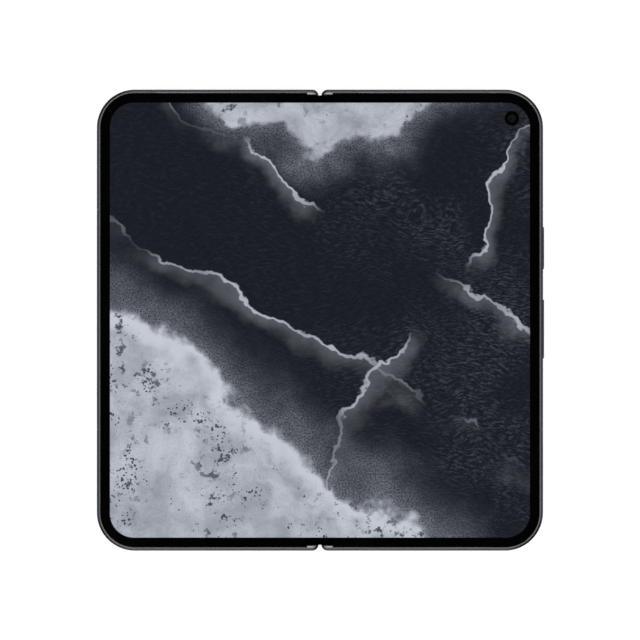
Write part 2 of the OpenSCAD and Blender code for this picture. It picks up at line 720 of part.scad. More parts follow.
module screen_bezel() {
    outer = half_outline(hinge_land_x, rim_w + 0.03, corner_r - rim_w - 0.03);
    inner = half_outline(-10, rim_w + bezel_w, lit_corner_r);
    skirt = half_outline(-10, display_inset - fit, corner_r - display_inset + fit);
    difference() {
        translate([0, 0, display_z]) linear_extrude(body_t - display_z) polygon(outer);
        translate([0, 0, display_z - 1]) linear_extrude(display_top - display_z + 1) polygon(skirt);
        translate([0, 0, display_z - 1]) linear_extrude(body_t) polygon(inner);
        both_ends() translate([0, body_h / 2 - rim_w, display_z - 1]) linear_extrude(body_t)
            polygon([[hinge_land_x - 1, 1], [hinge_land_x, 1], [hinge_land_x + bezel_slant, -bezel_w - 1],
                     [hinge_land_x - 1, -bezel_w - 1]]);
    }
}

module left_bezel() color([0.02, 0.02, 0.02]) mirrored() screen_bezel();
module right_bezel() color([0.02, 0.02, 0.02]) screen_bezel();

module screen_panel() { plate(soft_half_w, display_inset, corner_r - display_inset, display_z, display_t); }

module display_left_panel() color([0.12, 0.13, 0.16]) mirrored() screen_panel();
module display_right_panel() color([0.12, 0.13, 0.16]) difference() {
    screen_panel();
    translate([inner_cam[0], inner_cam[1], 0]) cylinder(h = body_t, r = inner_cam_r);
}

module display_fold_zone() color([0.12, 0.13, 0.16])
    block([-soft_half_w, -body_h / 2 + display_inset, display_z],
          [soft_half_w, body_h / 2 - display_inset, display_top]);

module support_plate() {
    plate(soft_half_w + support_t / 2 + fit, rim_w + 0.1, corner_r - rim_w - 0.1, deck_top, support_t);
}

module left_support_plate() color([0.35, 0.36, 0.38]) mirrored() support_plate();
module right_support_plate() color([0.35, 0.36, 0.38]) difference() {
    support_plate();
    translate([inner_cam[0], inner_cam[1], 0]) cylinder(h = body_t, r = inner_cam_r);
}

// Hinge, fixed on the spine

module spine_cover() color([0.24, 0.25, 0.27]) difference() {
    union() {
        difference() {
            along_y(-spine_len / 2, spine_len / 2) polygon(spine_section(spine_r));
            along_y(-spine_len / 2 + spine_end_t, spine_len / 2 - spine_end_t)
                polygon(concat(spine_section(spine_in_r),
                               [[pivot_x + spine_in_r, body_t], [-pivot_x - spine_in_r, body_t]]));
        }
    }
    for (s = [0, 1]) mirror([s, 0, 0]) {
        both_ends() {
            y = s == 0 ? right_arm_y : left_arm_y;
            block([spine_in_r, y - 0.2, exit_z], [spine_r + 3, y + arm_w + 0.2, body_t]);
            block([spine_in_r, gear_y - 0.1, exit_z], [spine_r + 3, gear_y + pocket_w + 0.1, body_t]);
        }
        block([spine_in_r, cable_y[0] - 0.3, exit_z], [spine_r + 3, cable_y[1] + 0.3, body_t]);
    }
    for (s = [-1, 1], y = base_screw_y())
        translate([0, s * y, base_screw_z]) cylinder(h = 3, r = base_screw_r + fit);
}

function base_screw_y() = [module_start + web_w / 2, left_arm_y + arm_w + web_w / 2, module_end - web_w / 2];
base_screw_r = 0.3;
base_screw_z = pivot_z - spine_r + 0.15;
base_head_r = 0.65;
base_head_t = 0.35;
base_top = pivot_z - spine_top_drop;

// Track for one arm: the curved groove, and the room that the arm sweeps
module arm_track() {
    r1 = rail_r - rail_gap;
    r2 = rail_r + rail_t + rail_gap;
    polygon(ring_section(r1, r2, 200, 300, 14));
    polygon(ring_section(r1, base_r + 0.5, 295, 405, 14));
}

module hinge_base() {
    difference() {
        union() {
            along_y(module_start, module_end) polygon(spine_section(base_r));
            block([-pivot_x + 0.1, module_start, pivot_z - spine_in_r],
                  [pivot_x - 0.1, module_end, pivot_z - 2]);
        }
        mirrored() along_y(left_arm_y - 0.1, left_arm_y + arm_w + 0.1) arm_track();
        along_y(right_arm_y - 0.1, right_arm_y + arm_w + 0.1) arm_track();
        block([-4, gear_y, gear_z - gear_tip_r - 0.15], [4, gear_y + pocket_w, body_t]);
        block([-4, washer_y, gear_z - gear_tip_r - 0.15], [4, washer_y + washer_pocket_w, body_t]);
        for (x = [-gear_x[0], gear_x[0]]) along_y(gear_y - shaft_seat, module_end - shaft_seat)
            translate([x, gear_z]) circle(r = shaft_r + 0.01);
        for (x = [-gear_x[1], gear_x[1]]) along_y(gear_y - shaft_seat, gear_y + pocket_w + shaft_seat)
            translate([x, gear_z]) circle(r = shaft_r + 0.01);
        for (y = base_screw_y()) {
            translate([0, y, 0]) cylinder(h = body_t, r = base_screw_r + fit);
            translate([0, y, base_top - base_head_t]) cylinder(h = 1, r = base_head_r + fit);
        }
    }
}

shaft_seat = 1.2;

module hinge_base_top() color([0.45, 0.46, 0.48]) hinge_base();
module hinge_base_bottom() color([0.45, 0.46, 0.48]) mirror([0, 1, 0]) hinge_base();

module gear_shafts() color([0.7, 0.7, 0.72]) both_ends() {
    for (x = [-gear_x[0], gear_x[0]]) along_y(gear_y - shaft_seat, module_end - shaft_seat)
        translate([x, gear_z]) circle(r = shaft_r);
    for (x = [-gear_x[1], gear_x[1]]) along_y(gear_y - shaft_seat, gear_y + pocket_w + shaft_seat)
        translate([x, gear_z]) circle(r = shaft_r);
}

module spring_washers() color([0.75, 0.72, 0.6]) both_ends()
    for (x = [-gear_x[0], gear_x[0]], i = [0 : washers - 1]) {
        y = washer_y + 0.2 + i * washer_pitch;
        along_y(y, y + washer_t) translate([x, gear_z]) difference() {
            circle(r = gear_tip_r);
            circle(r = bore_r);
        }
    }

module hinge_base_screws() color([0.7, 0.7, 0.72]) both_ends() for (y = base_screw_y()) translate([0, y, 0]) {
    translate([0, 0, base_screw_z + 0.02]) cylinder(h = base_top - base_screw_z - 0.04, r = base_screw_r);
    difference() {
        translate([0, 0, base_top - base_head_t + 0.01]) cylinder(h = base_head_t - 0.03, r = base_head_r);
        translate([0, 0, base_top - 0.2]) cylinder(h = 1, r = 0.3, $fn = 6);
    }
}

// Plate under the middle of the soft stretch, with two feet on the spine's floor
module centre_support() color([0.5, 0.51, 0.53]) {
    w = soft_half_w - wing_w - 0.2;
    y1 = spine_len / 2 - 0.3;
    block([-w, -y1, base_top], [w, y1, display_z]);
    for (y = [-foot_y, foot_y]) block([-0.8, y - 3, pivot_z - spine_in_r], [0.8, y + 3, base_top]);
}

// Flat cable through the spine, dipping under the soft stretch
function cable_z(x) = abs(x) > spine_in_r ? cable_top_z - cable_t / 2
    : cable_top_z - cable_t / 2 - cable_dip * (1 + cos(180 * x / spine_in_r)) / 2;
cable_top_z = deck_z - 0.15;

module hinge_flex_cable() color([0.55, 0.33, 0.10]) {
    xs = concat([-cable_reach], [for (i = [-10 : 10]) spine_in_r * i / 10], [cable_reach]);
    along_y(cable_y[0], cable_y[1]) polygon(concat(
        [for (x = xs) [x, cable_z(x) - cable_t / 2]],
        [for (i = [len(xs) - 1 : -1 : 0]) [xs[i], cable_z(xs[i]) + cable_t / 2]]));
}

// Hinge, moving with the halves

module rotating_arm() {
    r2 = rail_r + rail_t;
    a = 300;
    polygon(ring_section(rail_r, r2, 210, a, 12));
    polygon([
        [pivot_x + rail_r * cos(a - 1), pivot_z + rail_r * sin(a - 1)],
        [pivot_x + r2 * cos(a - 1), pivot_z + r2 * sin(a - 1)],
        [pivot_x + rail_r, exit_z - 0.65], [pivot_x + arm_bend, arm_z], [arm_reach, arm_z],
        [arm_reach, arm_z + arm_t], [pivot_x + arm_bend + arm_t, arm_z + arm_t],
        [pivot_x + rail_r, exit_z - 0.15]]);
}

module hinge_arms(y) both_ends() difference() {
    along_y(y, y + arm_w) rotating_arm();
    for (x = arm_screw_x()) translate([x, y + arm_w / 2, 0]) cylinder(h = body_t, r = screw_r + 0.01);
}

module left_hinge_arms() color([0.55, 0.56, 0.58]) mirrored() hinge_arms(left_arm_y);
module right_hinge_arms() color([0.55, 0.56, 0.58]) hinge_arms(right_arm_y);

module arm_screws(y) both_ends() for (x = arm_screw_x()) translate([x, y + arm_w / 2, 0]) {
    translate([0, 0, arm_z]) cylinder(h = deck_top - arm_z - 0.1, r = screw_r);
    difference() {
        translate([0, 0, deck_top - screw_head_t]) cylinder(h = screw_head_t - 0.02, r = screw_head_r);
        translate([0, 0, deck_top - 0.2]) cylinder(h = 1, r = 0.45, $fn = 6);
    }
}

module left_arm_screws() color([0.7, 0.7, 0.72]) mirrored() arm_screws(left_arm_y);
module right_arm_screws() color([0.7, 0.7, 0.72]) arm_screws(right_arm_y);

// Wing plate, rounded where it tilts, notched round the arms
module wing_plate(arm_y) {
    x0 = soft_half_w - wing_w;
    z = deck_top + support_t / 2;
    y1 = spine_len / 2 - 0.5;
    notch = 0.25;
    difference() {
        along_y(-y1, y1) polygon(concat(
            [[x0, deck_top]], arc(soft_half_w, z, support_t / 2, -90, 90, 8), [[x0, display_z]]));
        both_ends() {
            block([x0 - 1, gear_y - notch, 0], [x0 + 2.4, gear_y + pocket_w + notch, body_t]);
            block([x0 - 1, arm_y - notch, 0], [x0 + 1.6, arm_y + arm_w + notch, body_t]);
        }
    }
}

module left_wing_plate() color([0.4, 0.41, 0.43]) mirrored() wing_plate(left_arm_y);
module right_wing_plate() color([0.4, 0.41, 0.43]) wing_plate(right_arm_y);

// Gear outline about the origin, with one tooth at the angle turn
function gear_outline(turn) = let (step = 360 / gear_teeth) [
    for (i = [0 : gear_teeth - 1], q = [[-0.3, 0], [-0.12, 1], [0.12, 1], [0.3, 0]])
        let (a = turn + step * (i + q[0]), r = q[1] == 1 ? gear_tip_r : gear_root_r)
        [r * cos(a), r * sin(a)]];

module timing_gear(x, turn) along_y(gear_y + gear_play, gear_y + gear_play + gear_w)
    translate([x, gear_z]) difference() {
        polygon(gear_outline(turn));
        circle(r = bore_r);
    }

// Outer gear with the arm that slides in its half
module timing_arm(turn) {
    timing_gear(gear_x[0], turn);
    along_y(gear_y + gear_play, gear_y + gear_play + gear_w)
        polygon([[gear_x[0] + 0.5, arm_z], [timing_reach, arm_z], [timing_reach, arm_z + timing_t],
                 [gear_x[0] + 0.5, arm_z + timing_t]]);
}

// Neighbouring gears are half a tooth apart
half_tooth = 180 / gear_teeth;
module left_timing_arms() color([0.6, 0.6, 0.62]) both_ends() mirrored() timing_arm(half_tooth);
module right_timing_arms() color([0.6, 0.6, 0.62]) both_ends() timing_arm(0);
module left_idler_gears() color([0.6, 0.6, 0.62]) both_ends() mirrored() timing_gear(gear_x[1], 0);
module right_idler_gears() color([0.6, 0.6, 0.62]) both_ends() timing_gear(gear_x[1], half_tooth);

lifted() spine_cover();
lifted() hinge_base_top();
lifted() hinge_base_bottom();
lifted() centre_support();
lifted() gear_shafts();
lifted() hinge_base_screws();
lifted() spring_washers();
lifted() display_fold_zone();
lifted() hinge_flex_cable();
lifted() left_frame();
lifted() left_antenna_bands();
lifted() cover_glass();
lifted() cover_display_panel();
lifted() cover_camera();
lifted() left_battery();
lifted() left_board();
lifted() earpiece_speaker();
lifted() left_bezel();
lifted() left_support_plate();
lifted() display_left_panel();
lifted() left_hinge_arms();
lifted() left_arm_screws();
lifted() card_reader();
lifted() right_frame();
lifted() right_antenna_bands();
lifted() rear_cover();
lifted() camera_island();
lifted() camera_window();
lifted() main_camera();
lifted() wide_camera();
lifted() tele_camera();
lifted() flash_led();
lifted() right_battery();
lifted() main_board();
lifted() board_shields();
lifted() charging_coil();
lifted() loudspeaker();
lifted() charging_port();
lifted() vibration_motor();
lifted() inner_camera();
lifted() right_bezel();
lifted() right_support_plate();
lifted() display_right_panel();
lifted() right_hinge_arms();
lifted() right_arm_screws();
lifted() key_switches();
lifted() power_key();
lifted() volume_rocker();
lifted() card_tray();
lifted() left_wing_plate();
lifted() right_wing_plate();
lifted() left_timing_arms();
lifted() right_timing_arms();
lifted() left_idler_gears();
lifted() right_idler_gears();
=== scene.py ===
"""Foldable smartphone, open on its back: the look of every piece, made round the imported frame."""
import math

import bmesh
import bpy
from mathutils import Matrix, Vector


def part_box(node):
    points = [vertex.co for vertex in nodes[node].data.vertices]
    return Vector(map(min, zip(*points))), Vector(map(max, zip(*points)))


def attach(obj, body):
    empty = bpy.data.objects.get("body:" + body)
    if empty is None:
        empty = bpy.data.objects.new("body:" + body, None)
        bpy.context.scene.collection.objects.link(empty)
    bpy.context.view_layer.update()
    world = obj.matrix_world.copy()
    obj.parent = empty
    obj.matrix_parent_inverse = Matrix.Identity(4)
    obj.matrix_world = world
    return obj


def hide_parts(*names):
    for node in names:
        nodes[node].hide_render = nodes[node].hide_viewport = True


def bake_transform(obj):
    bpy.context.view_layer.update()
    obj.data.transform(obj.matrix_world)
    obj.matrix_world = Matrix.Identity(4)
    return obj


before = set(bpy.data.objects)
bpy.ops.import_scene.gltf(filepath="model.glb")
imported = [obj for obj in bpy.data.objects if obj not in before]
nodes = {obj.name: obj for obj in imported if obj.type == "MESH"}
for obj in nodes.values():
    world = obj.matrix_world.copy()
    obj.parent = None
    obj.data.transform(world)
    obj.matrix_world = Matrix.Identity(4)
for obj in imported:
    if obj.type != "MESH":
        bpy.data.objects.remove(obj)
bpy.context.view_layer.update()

MM = 0.001
side, end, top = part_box("right_frame")[1]
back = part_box("rear_cover")[0].z
screen_low, screen_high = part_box("display_right_panel")
window_low, window_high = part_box("camera_window")
island_low, island_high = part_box("camera_island")

CORNER_R = 12.8 * MM
CORNER_FACETS = 16
RIM_W = 1.15 * MM
BEZEL_W = 3.25 * MM
LIT_CORNER_R = 8.1 * MM
SCREEN_CORNER_R = 10.8 * MM
SOFT_HALF_W = 5 * MM
HINGE_LAND_X = 4.3 * MM
INNER_CAMERA = Vector((64.6, 67.9, 0)) * MM
INNER_HOLE_R = 2.48 * MM
COVER_CAMERA = Vector((-37.6, 70.4, 0)) * MM
PORT = Vector((37.6, 0, 4.8)) * MM
KEY_OUTER_X = 74.2 * MM
PICTURE_SPAN = 160 * MM
HOLE_STEP_MM = 1.7
CABLE_STEP_MM = 0.25

SAME_POINT = 0.0005 * MM
ON_PLANE = 0.001 * MM
SHARP_EDGE = math.radians(40)

RENDER_PIXELS = 640
PHONE_PIXELS = 461.0


# Shader tools

def join(tree, value, socket):
    """Feeds a socket with another node's output or with a plain value; a plain colour has three numbers."""
    if isinstance(value, bpy.types.NodeSocket):
        tree.links.new(value, socket)
    elif socket.type == "RGBA":
        socket.default_value = (*value, 1)
    else:
        socket.default_value = value


def feed(tree, sockets, **values):
    """Feeds sockets by name; an underscore stands for a space."""
    for key, value in values.items():
        join(tree, value, sockets[key.replace("_", " ")])


def add(tree, kind, settings=None, **values):
    """A shader node, with its settings and its inputs by name."""
    made = tree.nodes.new("ShaderNode" + kind)
    for key, value in (settings or {}).items():
        setattr(made, key, value)
    feed(tree, made.inputs, **values)
    return made.outputs


def in_order(tree, kind, *values, **settings):
    """A shader node, with its settings and its inputs in their order."""
    made = tree.nodes.new("ShaderNode" + kind)
    for key, value in settings.items():
        setattr(made, key, value)
    for value, socket in zip(values, made.inputs):
        join(tree, value, socket)
    return made.outputs


def maths(tree, operation, *values, clamp=False):
    return in_order(tree, "Math", *values, operation=operation, use_clamp=clamp)[0]


def plus(tree, first, second):
    return maths(tree, "ADD", first, second)


def minus(tree, first, second, clamp=False):
    return maths(tree, "SUBTRACT", first, second, clamp=clamp)


def times(tree, first, second, clamp=False):
    return maths(tree, "MULTIPLY", first, second, clamp=clamp)


def larger(tree, first, second):
    return maths(tree, "MAXIMUM", first, second)


def vectors(tree, operation, *values):
    outputs = in_order(tree, "VectorMath", *values, operation=operation)
    return outputs["Value" if operation in ("DOT_PRODUCT", "LENGTH", "DISTANCE") else "Vector"]


def ramp(tree, value, low, high, to_low=0.0, to_high=1.0, smooth=True):
    """Value stretched so that low becomes to_low and high becomes to_high, and kept between them."""
    kind = "SMOOTHSTEP" if smooth else "LINEAR"
    return add(tree, "MapRange", {"interpolation_type": kind, "clamp": True},
               Value=value, From_Min=low, From_Max=high, To_Min=to_low, To_Max=to_high)[0]


def band(tree, value, rise, fall):
    """1 between the rise and the fall, 0 before and after them."""
    return times(tree, ramp(tree, value, *rise), ramp(tree, value, *fall, 1.0, 0.0))


def mix_colour(tree, factor, first, second):
    made = tree.nodes.new("ShaderNodeMix")
    made.data_type = "RGBA"
    for value, i in ((factor, 0), (first, 6), (second, 7)):
        join(tree, value, made.inputs[i])
    return made.outputs[2]


def shaded(tree, colour, share):
    """A colour times a number."""
    return vectors(tree, "MULTIPLY", colour, add(tree, "CombineXYZ", X=share, Y=share, Z=share)[0])


def noise(tree, vector, scale, detail=3.0, roughness=0.55, distortion=0.0, wanted=0):
    """Noise about 0.5, or with wanted=1 its colour."""
    return add(tree, "TexNoise", Vector=vector, Scale=scale, Detail=detail, Roughness=roughness,
               Distortion=distortion)[wanted]


def crumbs(tree, vector, scale):
    """Distance to the nearest of many scattered points."""
    return add(tree, "TexVoronoi", Vector=vector, Scale=scale)["Distance"]


def new_group(name, inputs, outputs):
    """A node group with named sockets, first a place; gives its tree, what goes in and what comes out."""
    tree = bpy.data.node_groups.new(name, "ShaderNodeTree")
    for label, kind, value in [("Vector", "Vector", None), *inputs]:
        socket = tree.interface.new_socket(name=label, in_out="INPUT", socket_type="NodeSocket" + kind)
        if value is not None:
            socket.default_value = value
    for label, kind in outputs:
        tree.interface.new_socket(name=label, in_out="OUTPUT", socket_type="NodeSocket" + kind)
    given = tree.nodes.new("NodeGroupInput").outputs
    result = tree.nodes.new("NodeGroupOutput").inputs
    return tree, given, result


def use(tree, group, **values):
    made = tree.nodes.new("ShaderNodeGroup")
    made.node_tree = group
    feed(tree, made.inputs, **values)
    return made.outputs


# Effects that several finishes share

def make_blast_grain():
    """Fine grain of blasted, anodised or frosted surfaces."""
    tree, given, result = new_group(
        "blast_grain",
        [("Colour", "Color", (0.1, 0.1, 0.1, 1)), ("Grain size", "Float", 0.2), ("Contrast", "Float", 0.2)],
        [("Colour", "Color"), ("Height", "Float")])
    scale = maths(tree, "DIVIDE", 1000.0, given["Grain size"])
    fine = noise(tree, given["Vector"], scale, detail=3, roughness=0.6)
    broad = noise(tree, given["Vector"], 60.0, detail=2)
    mottled = plus(tree, times(tree, minus(tree, fine, 0.5), 1.6), minus(tree, broad, 0.5))
    share = plus(tree, 1.0, times(tree, mottled, given["Contrast"]))
    feed(tree, result, Colour=shaded(tree, given["Colour"], share), Height=fine)
    return tree


def make_handling():
    """Faint smears from fingers: a surface a little duller in soft patches, with fine wipe lines."""
    tree, given, result = new_group(
        "handling",
        [("Clean", "Float", 0.1), ("Smeared", "Float", 0.25)],
        [("Roughness", "Float"), ("Mask", "Float")])
    patches = ramp(tree, noise(tree, given["Vector"], 38.0, detail=3, distortion=0.4), 0.48, 0.74)
    wiped = add(tree, "Mapping", Vector=given["Vector"], Rotation=(0, 0, 0.6), Scale=(0.25, 1.0, 1.0))[0]
    wipes = ramp(tree, noise(tree, wiped, 1900.0, detail=2), 0.35, 0.7)
    mask = times(tree, patches, plus(tree, 0.45, times(tree, wipes, 0.55)))
    spread = minus(tree, given["Smeared"], given["Clean"])
    feed(tree, result, Mask=mask, Roughness=maths(tree, "MULTIPLY_ADD", spread, mask, given["Clean"]))
    return tree


def make_brushing():
    """Fine parallel lines, along the axis that Stretch keeps long."""
    tree, given, result = new_group(
        "brushing",
        [("Stretch", "Vector", (1, 0.04, 1)), ("Colour", "Color", (0.5, 0.5, 0.5, 1)),
         ("Contrast", "Float", 0.25)],
        [("Colour", "Color"), ("Height", "Float"), ("Mask", "Float")])
    drawn = vectors(tree, "MULTIPLY", given["Vector"], given["Stretch"])
    lines = noise(tree, drawn, 9000.0, detail=3, roughness=0.6)
    share = plus(tree, 1.0, times(tree, minus(tree, lines, 0.5), given["Contrast"]))
    feed(tree, result, Colour=shaded(tree, given["Colour"], share), Height=lines,
         Mask=ramp(tree, lines, 0.3, 0.7, smooth=False))
    return tree


def make_lit_area():
    """1 inside a rectangle with rounded corners about the origin, 0 outside it."""
    tree, given, result = new_group(
        "lit_area",
        [("Half size", "Vector", (0.4, 0.4, 0)), ("Corner radius", "Float", 0.05),
         ("Soft edge", "Float", 0.0002)],
        [("Mask", "Float")])
    away = vectors(tree, "ABSOLUTE", given["Vector"])
    radius = add(tree, "CombineXYZ", X=given["Corner radius"], Y=given["Corner radius"])[0]
    past = vectors(tree, "SUBTRACT", away, vectors(tree, "SUBTRACT", given["Half size"], radius))
    x, y, _ = add(tree, "SeparateXYZ", Vector=past)
    corner = add(tree, "CombineXYZ", X=larger(tree, x, 0.0), Y=larger(tree, y, 0.0))[0]
    inner = maths(tree, "MINIMUM", larger(tree, x, y), 0.0)
    distance = minus(tree, plus(tree, vectors(tree, "LENGTH", corner), inner), given["Corner radius"])
    outside = maths(tree, "DIVIDE", plus(tree, distance, given["Soft edge"]), given["Soft edge"])
    feed(tree, result, Mask=minus(tree, 1.0, outside, clamp=True))
    return tree


def make_stone_picture():
    """Wallpaper: charcoal stone with pale mineral clouds and thin bright veins. Its unit is 100 mm."""
    tree, given, result = new_group("stone_picture", [], [("Colour", "Color")])
    place = given["Vector"]
    warp = vectors(tree, "SUBTRACT", noise(tree, place, 1.7, detail=5, wanted=1), (0.5, 0.5, 0.5))
    bent = vectors(tree, "ADD", place, vectors(tree, "MULTIPLY", warp, (0.55, 0.55, 0.0)))
    ragged = minus(tree, noise(tree, place, 5.5, detail=11, roughness=0.62), 0.5)

    # Pale clouds: one from the lower left corner, one at the top edge
    low_side = vectors(tree, "DOT_PRODUCT", bent, (-0.62, -0.785, 0.0))
    low_field = maths(tree, "MULTIPLY_ADD", ragged, 0.20, low_side)
    apart = vectors(tree, "DISTANCE", vectors(tree, "MULTIPLY", bent, (1.0, 1.3, 0.0)), (0.02, 1.12, 0.0))
    top_field = maths(tree, "MULTIPLY_ADD", ragged, 0.22, minus(tree, 0.46, apart))
    cloud = larger(tree, ramp(tree, low_field, 0.345, 0.385), ramp(tree, top_field, 0.02, 0.06))
    low_haze = maths(tree, "POWER", ramp(tree, low_field, 0.09, 0.355, smooth=False), 2.6)
    top_haze = maths(tree, "POWER", ramp(tree, top_field, -0.16, 0.03, smooth=False), 3.0)
    haze = larger(tree, low_haze, top_haze)

    # Veins follow levels of slow fields, and come and go along their length
    def vein(field, level, width, seed, fade):
        shifted = vectors(tree, "ADD", place, (seed, seed * 0.7, 0.0))
        rough = minus(tree, noise(tree, shifted, 4.6, detail=9, roughness=0.56), 0.5)
        past = minus(tree, maths(tree, "MULTIPLY_ADD", rough, 0.15, field), level)
        core = ramp(tree, maths(tree, "ABSOLUTE", past), width * 0.3, width, 1.0, 0.0)
        wake = times(tree, ramp(tree, past, 0.0, width * 9, 1.0, 0.0), ramp(tree, past, -0.002, 0.0))
        strength = ramp(tree, noise(tree, shifted, 1.9, detail=2), fade, fade + 0.16)
        return times(tree, larger(tree, core, times(tree, wake, 0.22)), strength)

    slow_low = vectors(tree, "DOT_PRODUCT", bent, (-0.50, -0.86, 0.0))
    cross = vectors(tree, "DOT_PRODUCT", bent, (0.86, -0.50, 0.0))
    veins = vein(slow_low, 0.03, 0.0095, 3.1, 0.34)
    for made in (vein(slow_low, -0.33, 0.008, 8.4, 0.44), vein(cross, 0.30, 0.0085, 5.7, 0.40)):
        veins = larger(tree, veins, made)

    # Grain: flowing strokes in the dark stone, pits and dust in the pale one
    flow = vectors(tree, "MULTIPLY_ADD", warp, (0.30, 0.30, 0.0), place)
    streaked = add(tree, "Mapping", Vector=flow, Rotation=(0, 0, 0.95), Scale=(42.0, 150.0, 1.0))[0]
    streaks = noise(tree, streaked, 1.0, detail=4, roughness=0.72)
    grain = noise(tree, place, 190.0, detail=3, roughness=0.7)
    away = vectors(tree, "DOT_PRODUCT", place, (0.55, 0.20, 0.0))
    patches = times(tree, ramp(tree, noise(tree, place, 2.6, detail=4), 0.40, 0.62),
                    ramp(tree, away, -0.15, 0.30))
    lights = times(tree, ramp(tree, streaks, 0.44, 0.74), maths(tree, "MULTIPLY_ADD", patches, 0.85, 0.15))
    dark = mix_colour(tree, lights, (0.0105, 0.0120, 0.0180), (0.074, 0.080, 0.098))
    pits = times(tree, ramp(tree, noise(tree, place, 26.0, detail=8, roughness=0.68), 0.545, 0.60),
                 ramp(tree, noise(tree, place, 3.4, detail=3), 0.42, 0.58))
    shade = noise(tree, bent, 6.0, detail=10, roughness=0.62)
    pale = mix_colour(tree, ramp(tree, shade, 0.28, 0.72), (0.27, 0.295, 0.345), (0.56, 0.59, 0.66))
    pale = mix_colour(tree, ramp(tree, grain, 0.42, 0.70, 0.0, 0.35), pale, (0.22, 0.24, 0.29))
    crest = band(tree, low_field, (0.36, 0.39), (0.39, 0.46))
    pale = mix_colour(tree, times(tree, crest, 0.75), pale, (0.60, 0.63, 0.70))

    # Specks: small dark crumbs that crowd together in the pale stone
    fine_warp = vectors(tree, "SUBTRACT", noise(tree, place, 75.0, detail=2, wanted=1), (0.5, 0.5, 0.5))
    crumbled = vectors(tree, "MULTIPLY_ADD", fine_warp, (0.016, 0.016, 0.0), place)
    crowded = times(tree, ramp(tree, noise(tree, bent, 8.0, detail=5, roughness=0.6), 0.44, 0.66),
                    ramp(tree, low_field, 0.39, 0.47))
    reach = maths(tree, "MULTIPLY_ADD", crowded, 0.46, -0.03)
    specks = ramp(tree, minus(tree, crumbs(tree, crumbled, 92.0), reach), -0.03, 0.04, 1.0, 0.0)
    pale = mix_colour(tree, times(tree, larger(tree, pits, specks), 0.9), pale, (0.035, 0.04, 0.052))
    dusty = times(tree, haze, ramp(tree, grain, 0.32, 0.68, 0.1, 1.0))
    stone = mix_colour(tree, times(tree, dusty, 0.6, clamp=True), dark, (0.34, 0.365, 0.42))
    stone = mix_colour(tree, veins, stone, (0.42, 0.44, 0.50))
    feed(tree, result, Colour=mix_colour(tree, cloud, stone, pale))
    return tree


blast_grain = make_blast_grain()
handling = make_handling()
brushing = make_brushing()
lit_area = make_lit_area()
stone_picture = make_stone_picture()


# Finishes

def finish(name, roughness=0.5, metallic=0.0, specular=0.5, edge=1.0, **constants):
    """A material with a Principled shader; gives the material, its tree and the shader's inputs."""
    material = bpy.data.materials.new(name)
    material.use_nodes = True
    tree = material.node_tree
    inputs = tree.nodes["Principled BSDF"].inputs
    feed(tree, inputs, Roughness=roughness, Metallic=metallic, Specular_IOR_Level=specular,
         Specular_Tint=(edge, edge, edge), **constants)
    return material, tree, inputs


def object_place(tree):
    return add(tree, "TexCoord")["Object"]


def distance_from(tree, centre):
    """Distance in plan from a place on the phone."""
    away = vectors(tree, "SUBTRACT", object_place(tree), (centre.x, centre.y, 0.0))
    return vectors(tree, "LENGTH", vectors(tree, "MULTIPLY", away, (1.0, 1.0, 0.0)))


def raise_bumps(tree, inputs, height, strength, distance):
    feed(tree, inputs, Normal=add(tree, "Bump", Height=height, Strength=strength, Distance=distance)[0])


def grained(name, colour, clean, smeared, grain_size, contrast, bump, **constants):
    """A fine grain with faint handling."""
    material, tree, inputs = finish(name, **constants)
    place = object_place(tree)
    grain = use(tree, blast_grain, Vector=place, Colour=colour, Grain_size=grain_size, Contrast=contrast)
    handled = use(tree, handling, Vector=place, Clean=clean, Smeared=smeared)
    feed(tree, inputs, Base_Color=grain["Colour"], Roughness=handled["Roughness"])
    raise_bumps(tree, inputs, grain["Height"], bump, 0.02 * MM)
    return material


def anodised(name, colour, clean, smeared, contrast=0.18):
    """Blasted and anodised metal, its dye darkening it at grazing angles."""
    return grained(name, colour, clean, smeared, 0.12, contrast, 0.12, metallic=1.0, edge=0.15)


def moulded(name, colour, clean, smeared, grain_size=0.1, contrast=0.15, specular=0.4, bump=0.3):
    """Plastic, rubber or lacquer."""
    return grained(name, colour, clean, smeared, grain_size, contrast, bump, specular=specular)


def brushed(name, colour, roughness, stretch, contrast=0.3):
    """Metal with fine parallel lines."""
    material, tree, inputs = finish(name, metallic=1.0)
    place = object_place(tree)
    lines = use(tree, brushing, Vector=place, Stretch=stretch, Colour=colour, Contrast=contrast)
    feed(tree, inputs, Base_Color=lines["Colour"],
         Roughness=ramp(tree, lines["Mask"], 0.0, 1.0, roughness * 0.8, roughness * 1.25))
    raise_bumps(tree, inputs, lines["Height"], 0.2, 0.01 * MM)
    return material


def polished(name, colour, clean=0.03, smeared=0.16, coat=0.0):
    """Glossy black glass with smears that show at an angle."""
    material, tree, inputs = finish(name, Coat_Weight=coat, Coat_Roughness=0.03)
    smears = use(tree, handling, Vector=object_place(tree), Clean=clean, Smeared=smeared)
    lighter = tuple(min(1.0, c * 1.5 + 0.004) for c in colour)
    feed(tree, inputs, Base_Color=mix_colour(tree, smears["Mask"], colour, lighter),
         Roughness=smears["Roughness"])
    return material


def cover_finish():
    """Black cover glass, with its selfie camera's window just to be seen through it."""
    material = polished("cover_glass_black", (0.0028, 0.0028, 0.0034), smeared=0.10)
    tree = material.node_tree
    inputs = tree.nodes["Principled BSDF"].inputs
    radius = distance_from(tree, COVER_CAMERA)
    ring = band(tree, radius, (1.42 * MM, 1.5 * MM), (1.7 * MM, 1.78 * MM))
    pupil = ramp(tree, radius, 0.35 * MM, 0.75 * MM, 1.0, 0.0)
    smeared = inputs["Base Color"].links[0].from_socket
    ringed = mix_colour(tree, ring, smeared, (0.014, 0.014, 0.016))
    feed(tree, inputs, Base_Color=mix_colour(tree, pupil, ringed, (0.006, 0.006, 0.028)))
    return material


